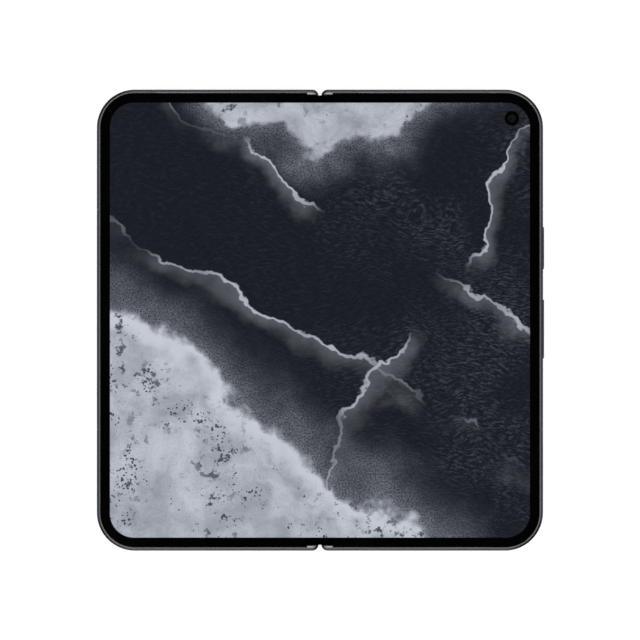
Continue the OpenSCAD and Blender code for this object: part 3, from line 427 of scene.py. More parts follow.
def land_finish():
    """Bright brushed strip beside the fold, with a painted highlight along one line, and painted shade
    towards the fold and at its edge away from it.
    """
    material, tree, inputs = finish("hinge_land", metallic=1.0)
    place = object_place(tree)
    x, y, _ = add(tree, "SeparateXYZ", Vector=place)
    across = maths(tree, "ABSOLUTE", x)
    # Painted light in the colour: shade towards the fold and at the edge away from it, and a highlight
    # along one line
    painted_light = times(tree, ramp(tree, across, 0.9 * MM, 2.9 * MM, 0.25, 1.0),
                   ramp(tree, across, 3.3 * MM, HINGE_LAND_X, 1.0, 0.72))
    off_highlight_line = maths(tree, "ABSOLUTE", minus(tree, maths(tree, "ABSOLUTE", y), end - 1.33 * MM))
    painted_light = times(tree, painted_light, ramp(tree, off_highlight_line, 0.10 * MM, 0.36 * MM, 1.0, 0.30))
    steel = (0.60, 0.61, 0.66)
    lines = use(tree, brushing, Vector=place, Stretch=(0.01, 1, 1), Colour=steel, Contrast=0.12)
    feed(tree, inputs, Base_Color=shaded(tree, lines["Colour"], painted_light),
         Roughness=ramp(tree, lines["Mask"], 0.0, 1.0, 0.34, 0.42))
    raise_bumps(tree, inputs, lines["Height"], 0.1, 0.005 * MM)
    return material


def screen_finish():
    """The folding screen: a lit picture under a clear film, and a black border round it."""
    material, tree, inputs = finish("folding_screen", specular=0.22, Base_Color=(0.0003, 0.0003, 0.0003),
                                    Emission_Strength=1.0)
    uv = add(tree, "UVMap", {"uv_map": "screen_place"})[0]
    centred = vectors(tree, "SUBTRACT", uv, (0.5, 0.5, 0.0))
    unit = PICTURE_SPAN / (100 * MM)
    picture_place = vectors(tree, "MULTIPLY", centred, (unit, unit, 0.0))
    picture = use(tree, stone_picture, Vector=picture_place)["Colour"]
    inset = RIM_W + BEZEL_W
    half = ((side - inset) / PICTURE_SPAN, (end - inset) / PICTURE_SPAN, 0.0)
    mask = use(tree, lit_area, Vector=centred, Half_size=half, Corner_radius=LIT_CORNER_R / PICTURE_SPAN,
               Soft_edge=0.08 * MM / PICTURE_SPAN)["Mask"]
    real_place = vectors(tree, "MULTIPLY", centred, (PICTURE_SPAN, PICTURE_SPAN, 0.0))
    smears = use(tree, handling, Vector=real_place, Clean=0.05, Smeared=0.14)
    feed(tree, inputs, Emission_Color=mix_colour(tree, mask, (0, 0, 0), picture),
         Roughness=smears["Roughness"])
    return material


def board_finish():
    """Solder mask over copper tracks, with pads and vias."""
    material, tree, inputs = finish("circuit_board")
    place = object_place(tree)
    tracks = add(tree, "TexBrick", {"offset": 0.4, "squash": 1.6, "squash_frequency": 3}, Vector=place,
                 Scale=420.0, Mortar_Size=0.03, Mortar_Smooth=0.4, Brick_Width=0.9, Row_Height=0.35)["Fac"]
    vias = ramp(tree, crumbs(tree, place, 900.0), 0.10, 0.14, 1.0, 0.0)
    masked = mix_colour(tree, times(tree, tracks, 0.55), (0.008, 0.05, 0.030), (0.02, 0.12, 0.065))
    feed(tree, inputs, Base_Color=mix_colour(tree, times(tree, vias, 0.6), masked, (0.55, 0.42, 0.18)),
         Roughness=ramp(tree, tracks, 0.0, 1.0, 0.32, 0.42))
    raise_bumps(tree, inputs, tracks, 0.4, 0.03 * MM)
    return material


def coil_finish():
    """Enamelled copper turns on dark ferrite, about the coil's own middle."""
    material, tree, inputs = finish("charging_coil_winding", metallic=0.85)
    low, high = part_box("charging_coil")
    turn = maths(tree, "FRACT", times(tree, distance_from(tree, (low + high) / 2), 2000.0))
    wire = maths(tree, "SINE", times(tree, turn, math.pi))
    feed(tree, inputs, Roughness=ramp(tree, wire, 0.0, 1.0, 0.6, 0.28),
         Base_Color=mix_colour(tree, ramp(tree, wire, 0.1, 0.6), (0.03, 0.02, 0.015), (0.62, 0.27, 0.11)))
    raise_bumps(tree, inputs, wire, 0.5, 0.1 * MM)
    return material


def film_finish():
    """Amber circuit film with fine conductors along its length."""
    material, tree, inputs = finish("circuit_film")
    place = object_place(tree)
    row = add(tree, "SeparateXYZ", Vector=place)[1]
    lines = maths(tree, "SINE", times(tree, row, 2 * math.pi / (0.5 * MM)))
    conductor = ramp(tree, lines, 0.0, 0.35)
    feed(tree, inputs, Base_Color=mix_colour(tree, conductor, (0.20, 0.075, 0.015), (0.42, 0.19, 0.05)),
         Roughness=ramp(tree, noise(tree, place, 900.0), 0.3, 0.7, 0.28, 0.4))
    raise_bumps(tree, inputs, conductor, 0.3, 0.03 * MM)
    return material


def wrap_finish():
    """Crinkled black film round the cells."""
    material, tree, inputs = finish("cell_wrap")
    creases = noise(tree, object_place(tree), 160.0, detail=4, roughness=0.5, distortion=1.4)
    feed(tree, inputs, Base_Color=mix_colour(tree, creases, (0.014, 0.014, 0.016), (0.035, 0.035, 0.038)),
         Roughness=ramp(tree, creases, 0.3, 0.7, 0.3, 0.5))
    raise_bumps(tree, inputs, creases, 0.5, 0.15 * MM)
    return material


def lens_finish(name, centre, glow, rim, coat=1.0):
    """Coated lens: dark pupil, a ring of coating colour and a black edge, about its own middle."""
    material, tree, inputs = finish(name, roughness=0.05, specular=0.5 * coat, Coat_Weight=coat,
                                    Coat_Roughness=0.02)
    radius = distance_from(tree, centre)
    ring = band(tree, radius, (rim * 0.22, rim * 0.5), (rim * 0.62, rim * 0.95))
    specks = ramp(tree, noise(tree, object_place(tree), 2500.0, detail=2), 0.3, 0.7, 0.85, 1.0)
    feed(tree, inputs, Base_Color=mix_colour(tree, times(tree, ring, specks), (0.002, 0.002, 0.004), glow))
    return material


def flash_finish():
    """Ridged diffuser over a warm emitter."""
    material, tree, inputs = finish("flash_diffuser", specular=0.6, Coat_Weight=0.6, Coat_Roughness=0.05)
    cells = crumbs(tree, object_place(tree), 2600.0)
    feed(tree, inputs, Roughness=ramp(tree, cells, 0.0, 0.6, 0.15, 0.35),
         Base_Color=mix_colour(tree, ramp(tree, cells, 0.1, 0.6), (0.80, 0.66, 0.30), (0.92, 0.88, 0.72)))
    raise_bumps(tree, inputs, cells, 0.5, 0.05 * MM)
    return material


def gauze_finish():
    """Woven acoustic cloth behind the sound holes."""
    material, tree, inputs = finish("sound_gauze", specular=0.3)
    x, _, z = add(tree, "SeparateXYZ", Vector=object_place(tree))
    warp, weft = [maths(tree, "SINE", times(tree, across, 2 * math.pi / (0.12 * MM))) for across in (x, z)]
    weave = times(tree, warp, weft)
    thread = ramp(tree, weave, -0.6, 0.6)
    feed(tree, inputs, Roughness=ramp(tree, weave, -1.0, 1.0, 0.85, 0.6),
         Base_Color=mix_colour(tree, thread, (0.002, 0.002, 0.002), (0.022, 0.022, 0.023)))
    raise_bumps(tree, inputs, weave, 0.5, 0.03 * MM)
    return material


frame_metal = anodised("frame_anodised", (0.052, 0.054, 0.060), 0.24, 0.30)
# The frame's flat top land: the same anodised metal made lighter, a painted highlight
rim_land_painted_highlight = anodised("rim_land_painted_highlight", (0.188, 0.191, 0.202), 0.36, 0.42, contrast=0.1)
hinge_land = land_finish()
spine_metal = brushed("spine_brushed", (0.085, 0.087, 0.094), 0.3, (1, 0.03, 1), contrast=0.35)
key_metal = anodised("key_anodised", (0.085, 0.087, 0.095), 0.26, 0.34)
tray_metal = anodised("tray_anodised", (0.072, 0.074, 0.081), 0.30, 0.38)
antenna_plastic = moulded("antenna_plastic", (0.040, 0.041, 0.044), 0.42, 0.5)
bezel_black = moulded("bezel_black", (0.0003, 0.0003, 0.0003), 0.18, 0.26, specular=0.05, bump=0.15)
folding_screen = screen_finish()
screen_side = moulded("screen_side", (0.004, 0.004, 0.0045), 0.4, 0.5, specular=0.3)
cover_black = cover_finish()
panel_black = polished("cover_panel_black", (0.002, 0.002, 0.0026), clean=0.1, smeared=0.2)
rear_frosted = moulded("rear_frosted", (0.047, 0.048, 0.053), 0.28, 0.34, grain_size=0.07, contrast=0.16,
                       specular=0.5, bump=0.25)
island_metal = anodised("island_anodised", (0.075, 0.077, 0.084), 0.24, 0.32)
window_black = polished("window_black", (0.003, 0.003, 0.0035), coat=0.4)
ring_metal = brushed("lens_ring_turned", (0.13, 0.132, 0.14), 0.16, (1, 1, 0.05), contrast=0.25)
barrel_black = moulded("barrel_black", (0.006, 0.006, 0.007), 0.32, 0.45, specular=0.35)
camera_block = moulded("camera_block", (0.016, 0.016, 0.018), 0.4, 0.5, specular=0.2)
camera_lip = moulded("camera_lip", (0.0026, 0.0026, 0.0029), 0.35, 0.45, specular=0.1)
camera_gloss = moulded("camera_gloss", (0.0012, 0.0012, 0.0013), 0.08, 0.12, specular=0.15, bump=0.05)
flash_diffuser = flash_finish()
cell_wrap = wrap_finish()
circuit_board = board_finish()
inner_plastic = moulded("inner_plastic", (0.03, 0.03, 0.032), 0.42, 0.5, grain_size=0.2)
shield_metal = brushed("shield_stamped", (0.52, 0.53, 0.55), 0.34, (1, 0.2, 1), contrast=0.2)
coil_winding = coil_finish()
circuit_film = film_finish()
support_metal = brushed("support_sheet", (0.12, 0.12, 0.125), 0.36, (0.1, 1, 1), contrast=0.25)
hinge_steel = brushed("hinge_steel", (0.42, 0.43, 0.45), 0.28, (1, 0.1, 1), contrast=0.25)
bright_steel = brushed("ground_steel", (0.58, 0.585, 0.60), 0.18, (1, 0.08, 1), contrast=0.2)
spring_steel = brushed("spring_steel", (0.50, 0.47, 0.40), 0.24, (0.3, 1, 0.3), contrast=0.2)
port_steel = brushed("port_steel", (0.36, 0.365, 0.375), 0.3, (0.1, 1, 1), contrast=0.2)
contact_gold = brushed("contact_gold", (0.78, 0.56, 0.22), 0.22, (1, 0.1, 1), contrast=0.15)
sound_gauze = gauze_finish()


# Mesh tools

def from_node(node):
    """A copy of a CAD node's triangles, merged, with its flat faces whole again."""
    shape = bmesh.new()
    shape.from_mesh(nodes[node].data)
    bmesh.ops.remove_doubles(shape, verts=shape.verts, dist=SAME_POINT)
    bmesh.ops.dissolve_limit(shape, angle_limit=math.radians(0.05), verts=shape.verts, edges=shape.edges)
    for face in shape.faces:
        face.material_index = 0
    return shape


def cut_across(shape, place, normal, clear_inner=False):
    """Splits every face at a plane, and keeps both sides or only the one that the normal points to."""
    bmesh.ops.bisect_plane(shape, geom=shape.verts[:] + shape.edges[:] + shape.faces[:], plane_co=place,
                           plane_no=normal, dist=ON_PLANE, clear_inner=clear_inner)


def moved(shape, made, depth):
    """Moves new points along Z, and turns all faces outwards."""
    verts = [v for v in made if isinstance(v, bmesh.types.BMVert)]
    bmesh.ops.translate(shape, verts=verts, vec=(0, 0, depth))
    bmesh.ops.recalc_face_normals(shape, faces=shape.faces)


def finer_corners(shape, way):
    """Splits each facet of the two outer corners, and moves the new points out to the true radius."""
    half_step = math.radians(90 / CORNER_FACETS / 2)
    for up in (-1, 1):
        middle = Vector((way * (side - CORNER_R), up * (end - CORNER_R), 0))

        def in_corner(point):
            away = point - middle
            return min(way * away.x, up * away.y) > -SAME_POINT / 5

        for i in range(CORNER_FACETS):
            angle = half_step * (2 * i + 1)
            faces = [f for f in shape.faces if all(in_corner(v.co) for v in f.verts)]
            edges = dict.fromkeys(e for f in faces for e in f.edges)
            verts = dict.fromkeys(v for f in faces for v in f.verts)
            slant = (-way * math.sin(angle), up * math.cos(angle), 0)
            cut = bmesh.ops.bisect_plane(shape, geom=[*verts, *edges, *faces], plane_co=middle,
                                         plane_no=slant, dist=SAME_POINT / 50)
            for vert in cut["geom_cut"]:
                if isinstance(vert, bmesh.types.BMVert):
                    away = vert.co.xy - middle.xy
                    if away.length > CORNER_R / 2:
                        vert.co.xy = middle.xy + away / math.cos(half_step)


def rounded_sheet(shape, low, high, z, radii, segments=16):
    """A flat face, its corners rounded in the order lower left, lower right, upper right, upper left."""
    corners = [(low[0], low[1]), (high[0], low[1]), (high[0], high[1]), (low[0], high[1])]
    made = [shape.verts.new((x, y, z)) for x, y in corners]
    shape.faces.new(made)
    for vert, radius in zip(made, radii):
        if radius:
            bmesh.ops.bevel(shape, geom=[vert], offset=radius, affect="VERTICES", segments=segments,
                            profile=0.5, material=-1)


def thicken(shape, faces, depth):
    """Pushes faces along Z by depth, so that they and their old place bound a plate."""
    moved(shape, bmesh.ops.extrude_face_region(shape, geom=faces, use_keep_orig=True)["geom"], depth)


def turned(centre, base, profile, segments=64):
    """Spins a profile of (radius, height over the base) in mm about the centre, and closes a hollow one."""
    shape = bmesh.new()
    verts = [shape.verts.new((centre.x + r * MM, centre.y, base + z * MM)) for r, z in profile]
    loop = verts + verts[:1] if profile[0][0] and profile[-1][0] else verts
    edges = [shape.edges.new(pair) for pair in zip(loop, loop[1:])]
    bmesh.ops.spin(shape, geom=verts + edges, cent=(centre.x, centre.y, 0), axis=(0, 0, 1), dvec=(0, 0, 0),
                   angle=2 * math.pi, steps=segments, use_merge=True)
    bmesh.ops.remove_doubles(shape, verts=shape.verts, dist=SAME_POINT)
    bmesh.ops.recalc_face_normals(shape, faces=shape.faces)
    return shape


def smooth(mesh, sharp=32):
    """Smooth shading, except at edges that turn by more than sharp degrees."""
    mesh.shade_smooth()
    mesh.set_sharp_from_angle(angle=math.radians(sharp))


def piece_from(shape, name, materials, sharp=32):
    """Ends a bmesh as an object at the origin."""
    mesh = bpy.data.meshes.new(name)
    shape.to_mesh(mesh)
    shape.free()
    for material in materials:
        mesh.materials.append(material)
    smooth(mesh, sharp)
    piece = bpy.data.objects.new(name, mesh)
    bpy.context.scene.collection.objects.link(piece)
    return piece


def soften(piece, width, segments=2):
    """Breaks the piece's sharp edges by a small width; gives the modifier."""
    edges = piece.modifiers.new("broken_edges", "BEVEL")
    edges.width = width
    edges.segments = segments
    edges.limit_method = "ANGLE"
    edges.angle_limit = SHARP_EDGE
    edges.miter_outer = "MITER_ARC"
    edges.harden_normals = True
    return edges


def soften_by_edge(piece, width, share, segments=2):
    """Breaks each sharp edge by its own share of the width."""
    edges = soften(piece, width, segments)
    edges.limit_method = "WEIGHT"
    edges.use_clamp_overlap = False
    shape = bmesh.new()
    shape.from_mesh(piece.data)
    weight = shape.edges.layers.float.new("bevel_weight_edge")
    for edge in shape.edges:
        if edge.is_manifold and edge.calc_face_angle() > SHARP_EDGE:
            edge[weight] = share(edge)
    shape.to_mesh(piece.data)
    shape.free()


def frame_share(edge):
    """1 for outer edges with room, 0 for inner ones, and elsewhere a trace that keeps shading flat."""
    room = 0.1 * MM
    shortest = min(near.calc_length() for vert in edge.verts for near in vert.link_edges)
    beside_lands = min(abs(vert.co.x) for vert in edge.verts) > HINGE_LAND_X + room
    if beside_lands and not edge.is_convex:
        return 0.0
    return 1.0 if beside_lands and shortest > room else 0.03


def key_share(edge):
    """1 for the edges of a key's outer part, 0 for its inner part."""
    return 1.0 if min(vert.co.x for vert in edge.verts) > KEY_OUTER_X else 0.0


def settle(piece, body, slot, *replaced):
    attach(piece, body)
    if replaced:
        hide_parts(*replaced)


def paint(node, material):
    """Gives a CAD node that stays its finish."""
    piece = nodes[node]
    if not piece.material_slots:
        piece.data.materials.append(material)
    for slot in piece.material_slots:
        slot.material = material


# Frames, with their land round the screen

def paint_land(shape):
    """The land is what lies flat at the top, in a lighter metal that is a painted highlight; beside the
    fold it is brighter.
    """
    for face in shape.faces:
        middle = face.calc_center_median()
        if face.normal.z > 0.99 and middle.z > top - 0.01 * MM:
            face.material_index = 2 if abs(middle.x) < HINGE_LAND_X else 1


def frame_piece(hand, sign):
    node = hand + "_frame"
    shape = from_node(node)
    finer_corners(shape, sign)
    cut_across(shape, (sign * HINGE_LAND_X, 0, 0), (1, 0, 0))
    paint_land(shape)
    piece = piece_from(shape, node + "_dressed", [frame_metal, rim_land_painted_highlight, hinge_land])
    soften_by_edge(piece, 0.04 * MM, frame_share)
    settle(piece, hand + "_half", "frame_metal", node)


def antenna_bands(hand):
    """Bands of plastic through the frame; the land runs over them."""
    node = hand + "_antenna_bands"
    shape = from_node(node)
    paint_land(shape)
    piece = piece_from(shape, node + "_dressed", [antenna_plastic, rim_land_painted_highlight])
    soften(piece, 0.01 * MM)
    settle(piece, hand + "_half", "antenna_plastic", node)


for hand, sign in (("left", -1), ("right", 1)):
    frame_piece(hand, sign)
    antenna_bands(hand)


# Pieces that keep the CAD shape, with merged faces and broken edges.
# Each row: node, body, slot, finish and the width of its broken edges in mm.

DRESSED = [
    ("left_bezel", "left_half", "bezel", bezel_black, 0.06),
    ("right_bezel", "right_half", "bezel", bezel_black, 0.06),
    ("card_tray", "tray", "frame_metal", tray_metal, 0.05),
    ("rear_cover", "right_half", "rear_glass", rear_frosted, 0.12),
    ("cover_glass", "left_half", "cover_glass", cover_black, 0.12),
    ("spine_cover", "hinge_spine", "spine_metal", spine_metal, 0.03),
]
for node, body, slot, material, width in DRESSED:
    piece = piece_from(from_node(node), node + "_dressed", [material])
    soften(piece, width * MM, segments=3 if width > 0.1 else 2)
    settle(piece, body, slot, node)

for node, body in (("power_key", "power"), ("volume_rocker", "volume")):
    piece = piece_from(from_node(node), node + "_dressed", [key_metal])
    soften_by_edge(piece, 0.16 * MM, key_share, segments=3)
    settle(piece, body, "frame_metal", node)


# Inner screen, in two sheets that meet over the spine

def screen_sheet(sign, hand):
    shape = bmesh.new()
    width, half_h, z = screen_high
    steps = 24
    if sign > 0:
        radii = (0, SCREEN_CORNER_R, SCREEN_CORNER_R, 0)
        rounded_sheet(shape, (0, -half_h), (width, half_h), z, radii, segments=steps)
    else:
        radii = (SCREEN_CORNER_R, 0, 0, SCREEN_CORNER_R)
        rounded_sheet(shape, (-width, -half_h), (0, half_h), z, radii, segments=steps)
    for i in range(1, steps + 1):
        cut_across(shape, (sign * SOFT_HALF_W * i / steps, 0, 0), (1, 0, 0))
    if sign > 0:
        open_camera_hole(shape)
    thicken(shape, shape.faces[:], screen_low.z - z)
    places = shape.loops.layers.uv.new("screen_place")
    for face in shape.faces:
        face.material_index = 0 if face.normal.z > 0.9 else 1
        for loop in face.loops:
            co = loop.vert.co
            loop[places].uv = (0.5 + co.x / PICTURE_SPAN, 0.5 + co.y / PICTURE_SPAN)
    piece = piece_from(shape, "inner_screen_" + hand, [folding_screen, screen_side])
    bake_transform(piece)
    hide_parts("display_%s_panel" % hand, "display_fold_zone")


def open_camera_hole(shape):
    """Frames a square round the camera, insets it, makes the inset round and takes its middle out."""
    reach = 1.5 * INNER_HOLE_R
    for axis in (Vector((1, 0, 0)), Vector((0, 1, 0))):
        for way in (-reach, reach):
            cut_across(shape, INNER_CAMERA + axis * way, axis)
    cell = camera_cell(shape)
    bmesh.ops.subdivide_edges(shape, edges=cell.edges[:], cuts=15)
    bmesh.ops.inset_region(shape, faces=[camera_cell(shape)], thickness=0.2 * INNER_HOLE_R)
    cell = camera_cell(shape)
    for vert in cell.verts:
        away = (vert.co - INNER_CAMERA).xy.normalized() * INNER_HOLE_R
        vert.co.xy = INNER_CAMERA.xy + away
    bmesh.ops.delete(shape, geom=[cell], context="FACES")


def camera_cell(shape):
    """The face of the sheet over the camera's middle."""
    return min(shape.faces, key=lambda f: (f.calc_center_median() - INNER_CAMERA).xy.length)


screen_sheet(-1, "left")
screen_sheet(1, "right")


# Inner camera: ring, lip and coated lens in the hole of the screen

def inner_camera_parts():
    """Black window with a fine lip round a shallow dark lens, just under the screen's face."""
    lens = lens_finish("inner_lens", INNER_CAMERA, (0.0035, 0.003, 0.013), 0.66 * MM, coat=0.1)
    ring = [(2.47, -0.5), (2.47, -0.05), (2.43, -0.03), (1.34, -0.03), (1.30, -0.06), (1.30, -0.5)]
    lip = [(1.30, -0.5), (1.30, -0.10), (1.26, -0.07), (1.00, -0.07), (0.96, -0.10), (0.68, -0.14),
           (0.66, -0.5)]
    dome = [(0, -0.13), (0.16, -0.132), (0.33, -0.14), (0.5, -0.153), (0.66, -0.172), (0.66, -0.5),
            (0, -0.5)]
    for name, profile, material, sharp in (("ring", ring, camera_gloss, 15), ("lip", lip, camera_lip, 12),
                                           ("lens", dome, lens, 50)):
        shape = turned(INNER_CAMERA, screen_high.z, profile)
        settle(piece_from(shape, "inner_camera_" + name, [material], sharp), "right_half", "camera_black")


inner_camera_parts()


# Camera island on the back.
# Each lens: name, place on the island and radius of its opening in mm, colour of its coating.

LENSES = [
    ("main", -8.6, 5.0, 5.4, (0.045, 0.02, 0.11)),
    ("wide", 7.6, 7.4, 4.3, (0.012, 0.05, 0.09)),
    ("tele", 7.6, -7.4, 4.3, (0.02, 0.07, 0.05)),
]
FLASH = (-8.6, -8.6, 1.8)
island_middle = (island_low + island_high) / 2


def on_island(x, y):
    return Vector((island_middle.x + x * MM, island_middle.y + y * MM, 0))


def island_body():
    """Raised plate with a rounded outer edge and a seat for the window."""
    shape = bmesh.new()
    base = island_low.z
    rounded_sheet(shape, island_low, island_high, base, (8 * MM,) * 4, segments=20)
    thicken(shape, shape.faces[:], island_high.z - base)
    rim = [f for f in shape.faces if f.normal.z < -0.9]
    bmesh.ops.inset_region(shape, faces=rim, thickness=(window_low.x - island_low.x) - 0.05 * MM)
    face_middle = Vector((island_middle.x, island_middle.y, base))
    seat = min(shape.faces, key=lambda f: (f.calc_center_median() - face_middle).length)
    made = bmesh.ops.extrude_face_region(shape, geom=[seat])["geom"]
    bmesh.ops.delete(shape, geom=[seat], context="FACES")
    moved(shape, made, window_high.z - base)
    outer = [e for e in shape.edges if e.is_manifold and e.calc_face_angle() > 1
             and all(v.co.z < base + 0.01 * MM for v in e.verts) and not in_window(e)]
    bmesh.ops.bevel(shape, geom=outer, offset=0.55 * MM, affect="EDGES", segments=5, profile=0.5,
                    material=-1)
    piece = piece_from(shape, "camera_island_dressed", [island_metal])
    soften(piece, 0.04 * MM)
    settle(piece, "right_half", "island_metal", "camera_island")


def in_window(edge):
    """True for an edge at the window's rim or inside it."""
    reach = window_high - island_middle + Vector((0.2, 0.2, 0)) * MM
    away = [vert.co - island_middle for vert in edge.verts]
    return all(abs(step.x) < reach.x and abs(step.y) < reach.y for step in away)


def cut_with(piece, tools):
    """Takes round tools out of a piece, and applies the cut."""
    for tool in tools:
        cut = piece.modifiers.new("hole", "BOOLEAN")
        cut.operation = "DIFFERENCE"
        cut.solver = "EXACT"
        cut.object = tool
    dressed = bpy.data.meshes.new_from_object(piece.evaluated_get(bpy.context.evaluated_depsgraph_get()))
    piece.modifiers.clear()
    piece.data = dressed
    for tool in tools:
        bpy.data.objects.remove(tool)


def window_plate():
    """Black glass with an opening for each lens and the flash."""
    shape = bmesh.new()
    rounded_sheet(shape, window_low, window_high, window_low.z, (6.85 * MM,) * 4, segments=20)
    thicken(shape, shape.faces[:], window_high.z - window_low.z)
    piece = piece_from(shape, "camera_window_dressed", [window_black])
    tools = []
    for x, y, r in [*(lens[1:4] for lens in LENSES), FLASH]:
        tool = bmesh.new()
        radius = (r - 0.1) * MM
        bmesh.ops.create_cone(tool, cap_ends=True, segments=72, radius1=radius, radius2=radius,
                              depth=4 * MM, matrix=Matrix.Translation(on_island(x, y)))
        tools.append(piece_from(tool, "opening_tool", [window_black]))
    bpy.context.view_layer.update()
    cut_with(piece, tools)
    smooth(piece.data)
    soften(piece, 0.1 * MM, segments=3)
    settle(piece, "right_half", "window_glass", "camera_window")


def lens_parts(name, x, y, opening_r, glow):
    """Trim ring, stepped well and coated lens of one rear camera, facing down."""
    centre = on_island(x, y)
    r = opening_r - 0.12
    z = window_low.z
    ring = turned(centre, z, [(r, 0.78), (r, 0.06), (r - 0.06, 0.01), (r - 0.5, 0.01), (r - 0.62, 0.12),
                              (r - 0.66, 0.78)], segments=96)
    settle(piece_from(ring, name + "_camera_ring", [ring_metal]), "right_half", "island_metal")
    steps = [(r - 0.6, 0.3)]
    count = 5
    for i in range(count):
        out = r - 0.75 - (r * 0.42) * i / count
        steps += [(out, 0.3 + 0.16 * i), (out, 0.46 + 0.16 * i)]
    well = turned(centre, z, [*steps, (r * 0.36, 1.15), (r - 0.6, 1.15)], segments=96)
    settle(piece_from(well, name + "_camera_well", [barrel_black]), "right_half", "camera_black")
    reach = r * 0.5
    angles = [math.pi / 2 * i / 10 for i in range(11)]
    dome = [(reach * math.sin(angle), 1.05 - 0.45 * math.cos(angle)) for angle in angles]
    lens = turned(centre, z, [*dome, (reach, 1.3), (0, 1.3)], segments=72)
    coated = lens_finish(name + "_lens_coated", centre, glow, reach * MM)
    settle(piece_from(lens, name + "_camera_lens", [coated], sharp=50), "right_half", "camera_black")


def flash_part():
    """Disc of round ridges."""
    profile = [(0, 0.12)]
    for i in range(5):
        profile += [(0.18 + 0.3 * i, 0.04), (0.3 + 0.3 * i, 0.12)]
    shape = turned(on_island(*FLASH[:2]), window_low.z, [*profile, (1.62, 0.05), (1.66, 0.7), (0, 0.7)])
    settle(piece_from(shape, "flash_lens", [flash_diffuser], sharp=20), "right_half", "flash_lens")


island_body()
window_plate()
for lens in LENSES:
    lens_parts(*lens)
flash_part()


# Charging port and the cloth behind the sound holes

def port_shell():
    """The port in steel, its tongue in dark plastic with rows of gold strips on both faces."""
    mouth_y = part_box("charging_port")[0].y
    shape = from_node("charging_port")
    for face in shape.faces:
        middle = face.calc_center_median()
        on_tongue = abs(middle.x - PORT.x) < 3.4 * MM and abs(middle.z - PORT.z) < 0.45 * MM
        if on_tongue and 0.5 * MM < middle.y - mouth_y < 6.9 * MM:
            face.material_index = 1
    piece = piece_from(shape, "charging_port_dressed", [port_steel, inner_plastic])
    soften(piece, 0.05 * MM)
    settle(piece, "right_half", "shield_metal", "charging_port")
    strips = bmesh.new()
    strip_size = Matrix.Diagonal((0.26 * MM, 4.2 * MM, 0.06 * MM, 1))
    for i in range(12):
        for face_side in (-1, 1):
            place = PORT + Vector(((i - 5.5) * 0.5, 0, face_side * 0.35)) * MM
            place.y = mouth_y + 3.2 * MM
            bmesh.ops.create_cube(strips, size=1.0, matrix=Matrix.Translation(place) @ strip_size)
    settle(piece_from(strips, "charging_port_contacts", [contact_gold]), "right_half", "shield_metal")


def hole_gauze(hand, rows):
    """Small discs of cloth a little way in from each sound hole's mouth."""
    shape = bmesh.new()
    radius = 0.53 * MM
    upright = Matrix.Rotation(math.pi / 2, 4, "X")
    for first_x, count, y_side in rows:
        for i in range(count):
            place = Vector(((first_x + HOLE_STEP_MM * i) * MM, y_side * (end - 0.75 * MM), back + 2.4 * MM))
            bmesh.ops.create_cone(shape, cap_ends=True, segments=24, radius1=radius, radius2=radius,
                                  depth=0.08 * MM, matrix=Matrix.Translation(place) @ upright)
    settle(piece_from(shape, hand + "_sound_gauze", [sound_gauze]), hand + "_half", "inner_plastic")


port_shell()
hole_gauze("right", [(46.35, 6, -1), (26.5, 1, -1), (28.0, 1, 1)])
hole_gauze("left", [(-59.5, 1, -1), (-44 - HOLE_STEP_MM * 5, 6, 1)])


# Cable through the spine, in two lengths

def cable_length(sign, hand):
    shape = from_node("hinge_flex_cable")
    cut_across(shape, (0, 0, 0), (sign, 0, 0), clear_inner=True)
    bmesh.ops.holes_fill(shape, edges=[e for e in shape.edges if e.is_boundary], sides=0)
    for i in range(1, 24):
        cut_across(shape, (sign * i * CABLE_STEP_MM * MM, 0, 0), (1, 0, 0))
    bmesh.ops.recalc_face_normals(shape, faces=shape.faces)
    piece = piece_from(shape, "hinge_cable_" + hand, [circuit_film])
    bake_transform(piece)
    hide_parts("hinge_flex_cable")


cable_length(-1, "left")
cable_length(1, "right")


# CAD nodes that stay as they are

STAYING = {
    hinge_steel: ["hinge_base_top", "hinge_base_bottom", "left_hinge_arms", "right_hinge_arms",
                  "left_wing_plate", "right_wing_plate", "centre_support"],
    bright_steel: ["gear_shafts", "hinge_base_screws", "left_arm_screws", "right_arm_screws",
                   "left_timing_arms", "right_timing_arms", "left_idler_gears", "right_idler_gears"],
    spring_steel: ["spring_washers"],
    panel_black: ["cover_display_panel"],
    camera_block: ["cover_camera", "inner_camera", "main_camera", "wide_camera", "tele_camera"],
    flash_diffuser: ["flash_led"],
    cell_wrap: ["left_battery", "right_battery"],
    circuit_board: ["left_board", "main_board"],
    inner_plastic: ["earpiece_speaker", "loudspeaker"],
    shield_metal: ["board_shields", "vibration_motor", "card_reader"],
    coil_winding: ["charging_coil"],
    circuit_film: ["key_switches"],
    support_metal: ["left_support_plate", "right_support_plate"],
}
for material, names in STAYING.items():
    for node in names:
        paint(node, material)


# Floor, world, lamps and camera

def background_rays(tree):
    """1 for rays that should meet the plain white background."""
    path = add(tree, "LightPath")
    either = larger(tree, path["Is Camera Ray"], path["Is Glossy Ray"])
    return larger(tree, either, path["Is Transmission Ray"])


def mix_shaders(tree, factor, first, second):
    return in_order(tree, "MixShader", factor, first, second)[0]


def white_floor():
    """Paper-white floor that shows its shadow from above, and lets light up to the phone's back."""
    material = bpy.data.materials.new("white_floor")
    material.use_nodes = True
    tree = material.node_tree
    tree.nodes.clear()
    paper = add(tree, "BsdfDiffuse", Color=(0.85, 0.85, 0.85))[0]
    lift = add(tree, "Emission", Color=(1, 1, 1), Strength=times(tree, background_rays(tree), 0.55))[0]
    lit = in_order(tree, "AddShader", paper, lift)[0]
    path = add(tree, "LightPath")
    near = maths(tree, "LESS_THAN", path["Ray Length"], 0.03)
    from_back = times(tree, near, minus(tree, 1.0, path["Is Camera Ray"]))
    open_side = larger(tree, add(tree, "NewGeometry")["Backfacing"], from_back)
    clear = add(tree, "BsdfTransparent")[0]
    in_order(tree, "OutputMaterial", mix_shaders(tree, open_side, lit, clear))
    shape = bmesh.new()
    bmesh.ops.create_grid(shape, x_segments=1, y_segments=1, size=4.0)
    floor = piece_from(shape, "white_floor", [material])


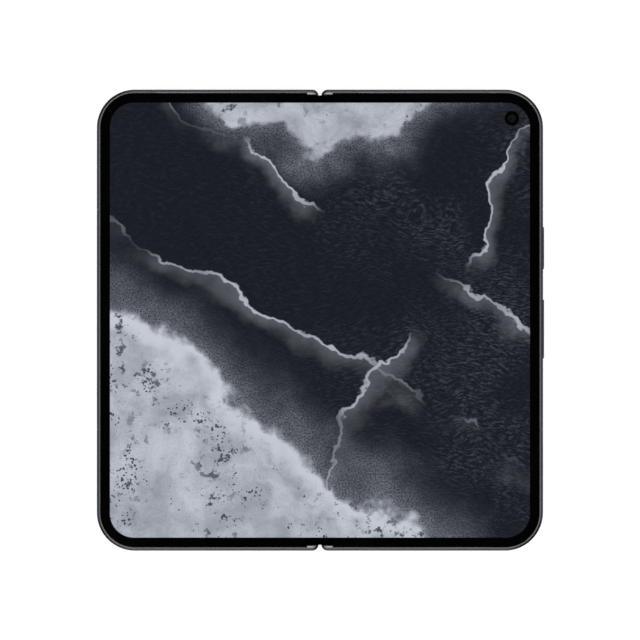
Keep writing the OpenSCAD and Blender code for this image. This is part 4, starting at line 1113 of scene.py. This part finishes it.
def white_world():
    world = bpy.data.worlds.new("studio")
    bpy.context.scene.world = world
    world.use_nodes = True
    tree = world.node_tree
    tree.nodes.clear()
    soft = add(tree, "Background", Color=(0.98, 0.99, 1.0), Strength=0.72)[0]
    white = add(tree, "Background", Color=(1, 1, 1), Strength=1.0)[0]
    in_order(tree, "OutputWorld", mix_shaders(tree, background_rays(tree), soft, white))


def soft_box(name, place, size, power):
    lamp = bpy.data.lights.new(name, "AREA")
    lamp.shape = "RECTANGLE"
    lamp.size, lamp.size_y = size
    lamp.energy = power
    holder = bpy.data.objects.new(name, lamp)
    holder.location = place
    holder.rotation_euler = (-Vector(place)).to_track_quat("-Z", "Y").to_euler()
    bpy.context.scene.collection.objects.link(holder)


def black_card(name, place, size):
    """A card that only reflections see, so that gloss and metal get their dark shapes."""
    material = finish(name, specular=0, Base_Color=(0, 0, 0))[0]
    shape = bmesh.new()
    bmesh.ops.create_grid(shape, x_segments=1, y_segments=1, size=0.5)
    card = piece_from(shape, name, [material])
    card.scale = (size[0], size[1], 1)
    card.location = place
    flat = Vector((place[0], place[1], 0)) if place[0] else Vector(place)
    card.rotation_euler = flat.to_track_quat("Z", "Y").to_euler()
    card.visible_camera = card.visible_diffuse = card.visible_shadow = card.visible_transmission = False


def camera_above():
    """Straight above, with a long lens, so that the open phone fills the frame as in the photograph."""
    lens = bpy.data.cameras.new("camera")
    lens.lens = 250
    lens.sensor_width = 36
    camera = bpy.data.objects.new("camera", lens)
    pixels_per_metre = PHONE_PIXELS / (2 * end)
    shown = RENDER_PIXELS / pixels_per_metre
    camera.location = (0, 0, top - 0.75 * MM + shown / 2 / (lens.sensor_width / 2 / lens.lens))
    lens.shift_x, lens.shift_y = 0.06 / RENDER_PIXELS, 0.14 / RENDER_PIXELS
    lens.clip_start, lens.clip_end = 0.05, 20
    bpy.context.scene.collection.objects.link(camera)
    bpy.context.scene.camera = camera


white_floor()
white_world()
soft_box("key_light", (-0.25, -1.1, 1.3), (1.1, 1.0), 6.5)
soft_box("fill_light", (0.3, 1.1, 1.2), (0.9, 0.8), 3.0)
for height, name in ((2.4, "card_above"), (-2.4, "card_below")):
    black_card(name, (0, 0, height), (0.8, 0.8))
for x, y, name in ((1, 1, "far_right"), (-1, 1, "far_left"), (-1, -1, "near_left"), (1, -1, "near_right")):
    black_card("card_" + name, (1.3 * x, 1.3 * y, 2.0), (1.9, 4.0))
camera_above()

bpy.context.scene.view_settings.view_transform = "Standard"
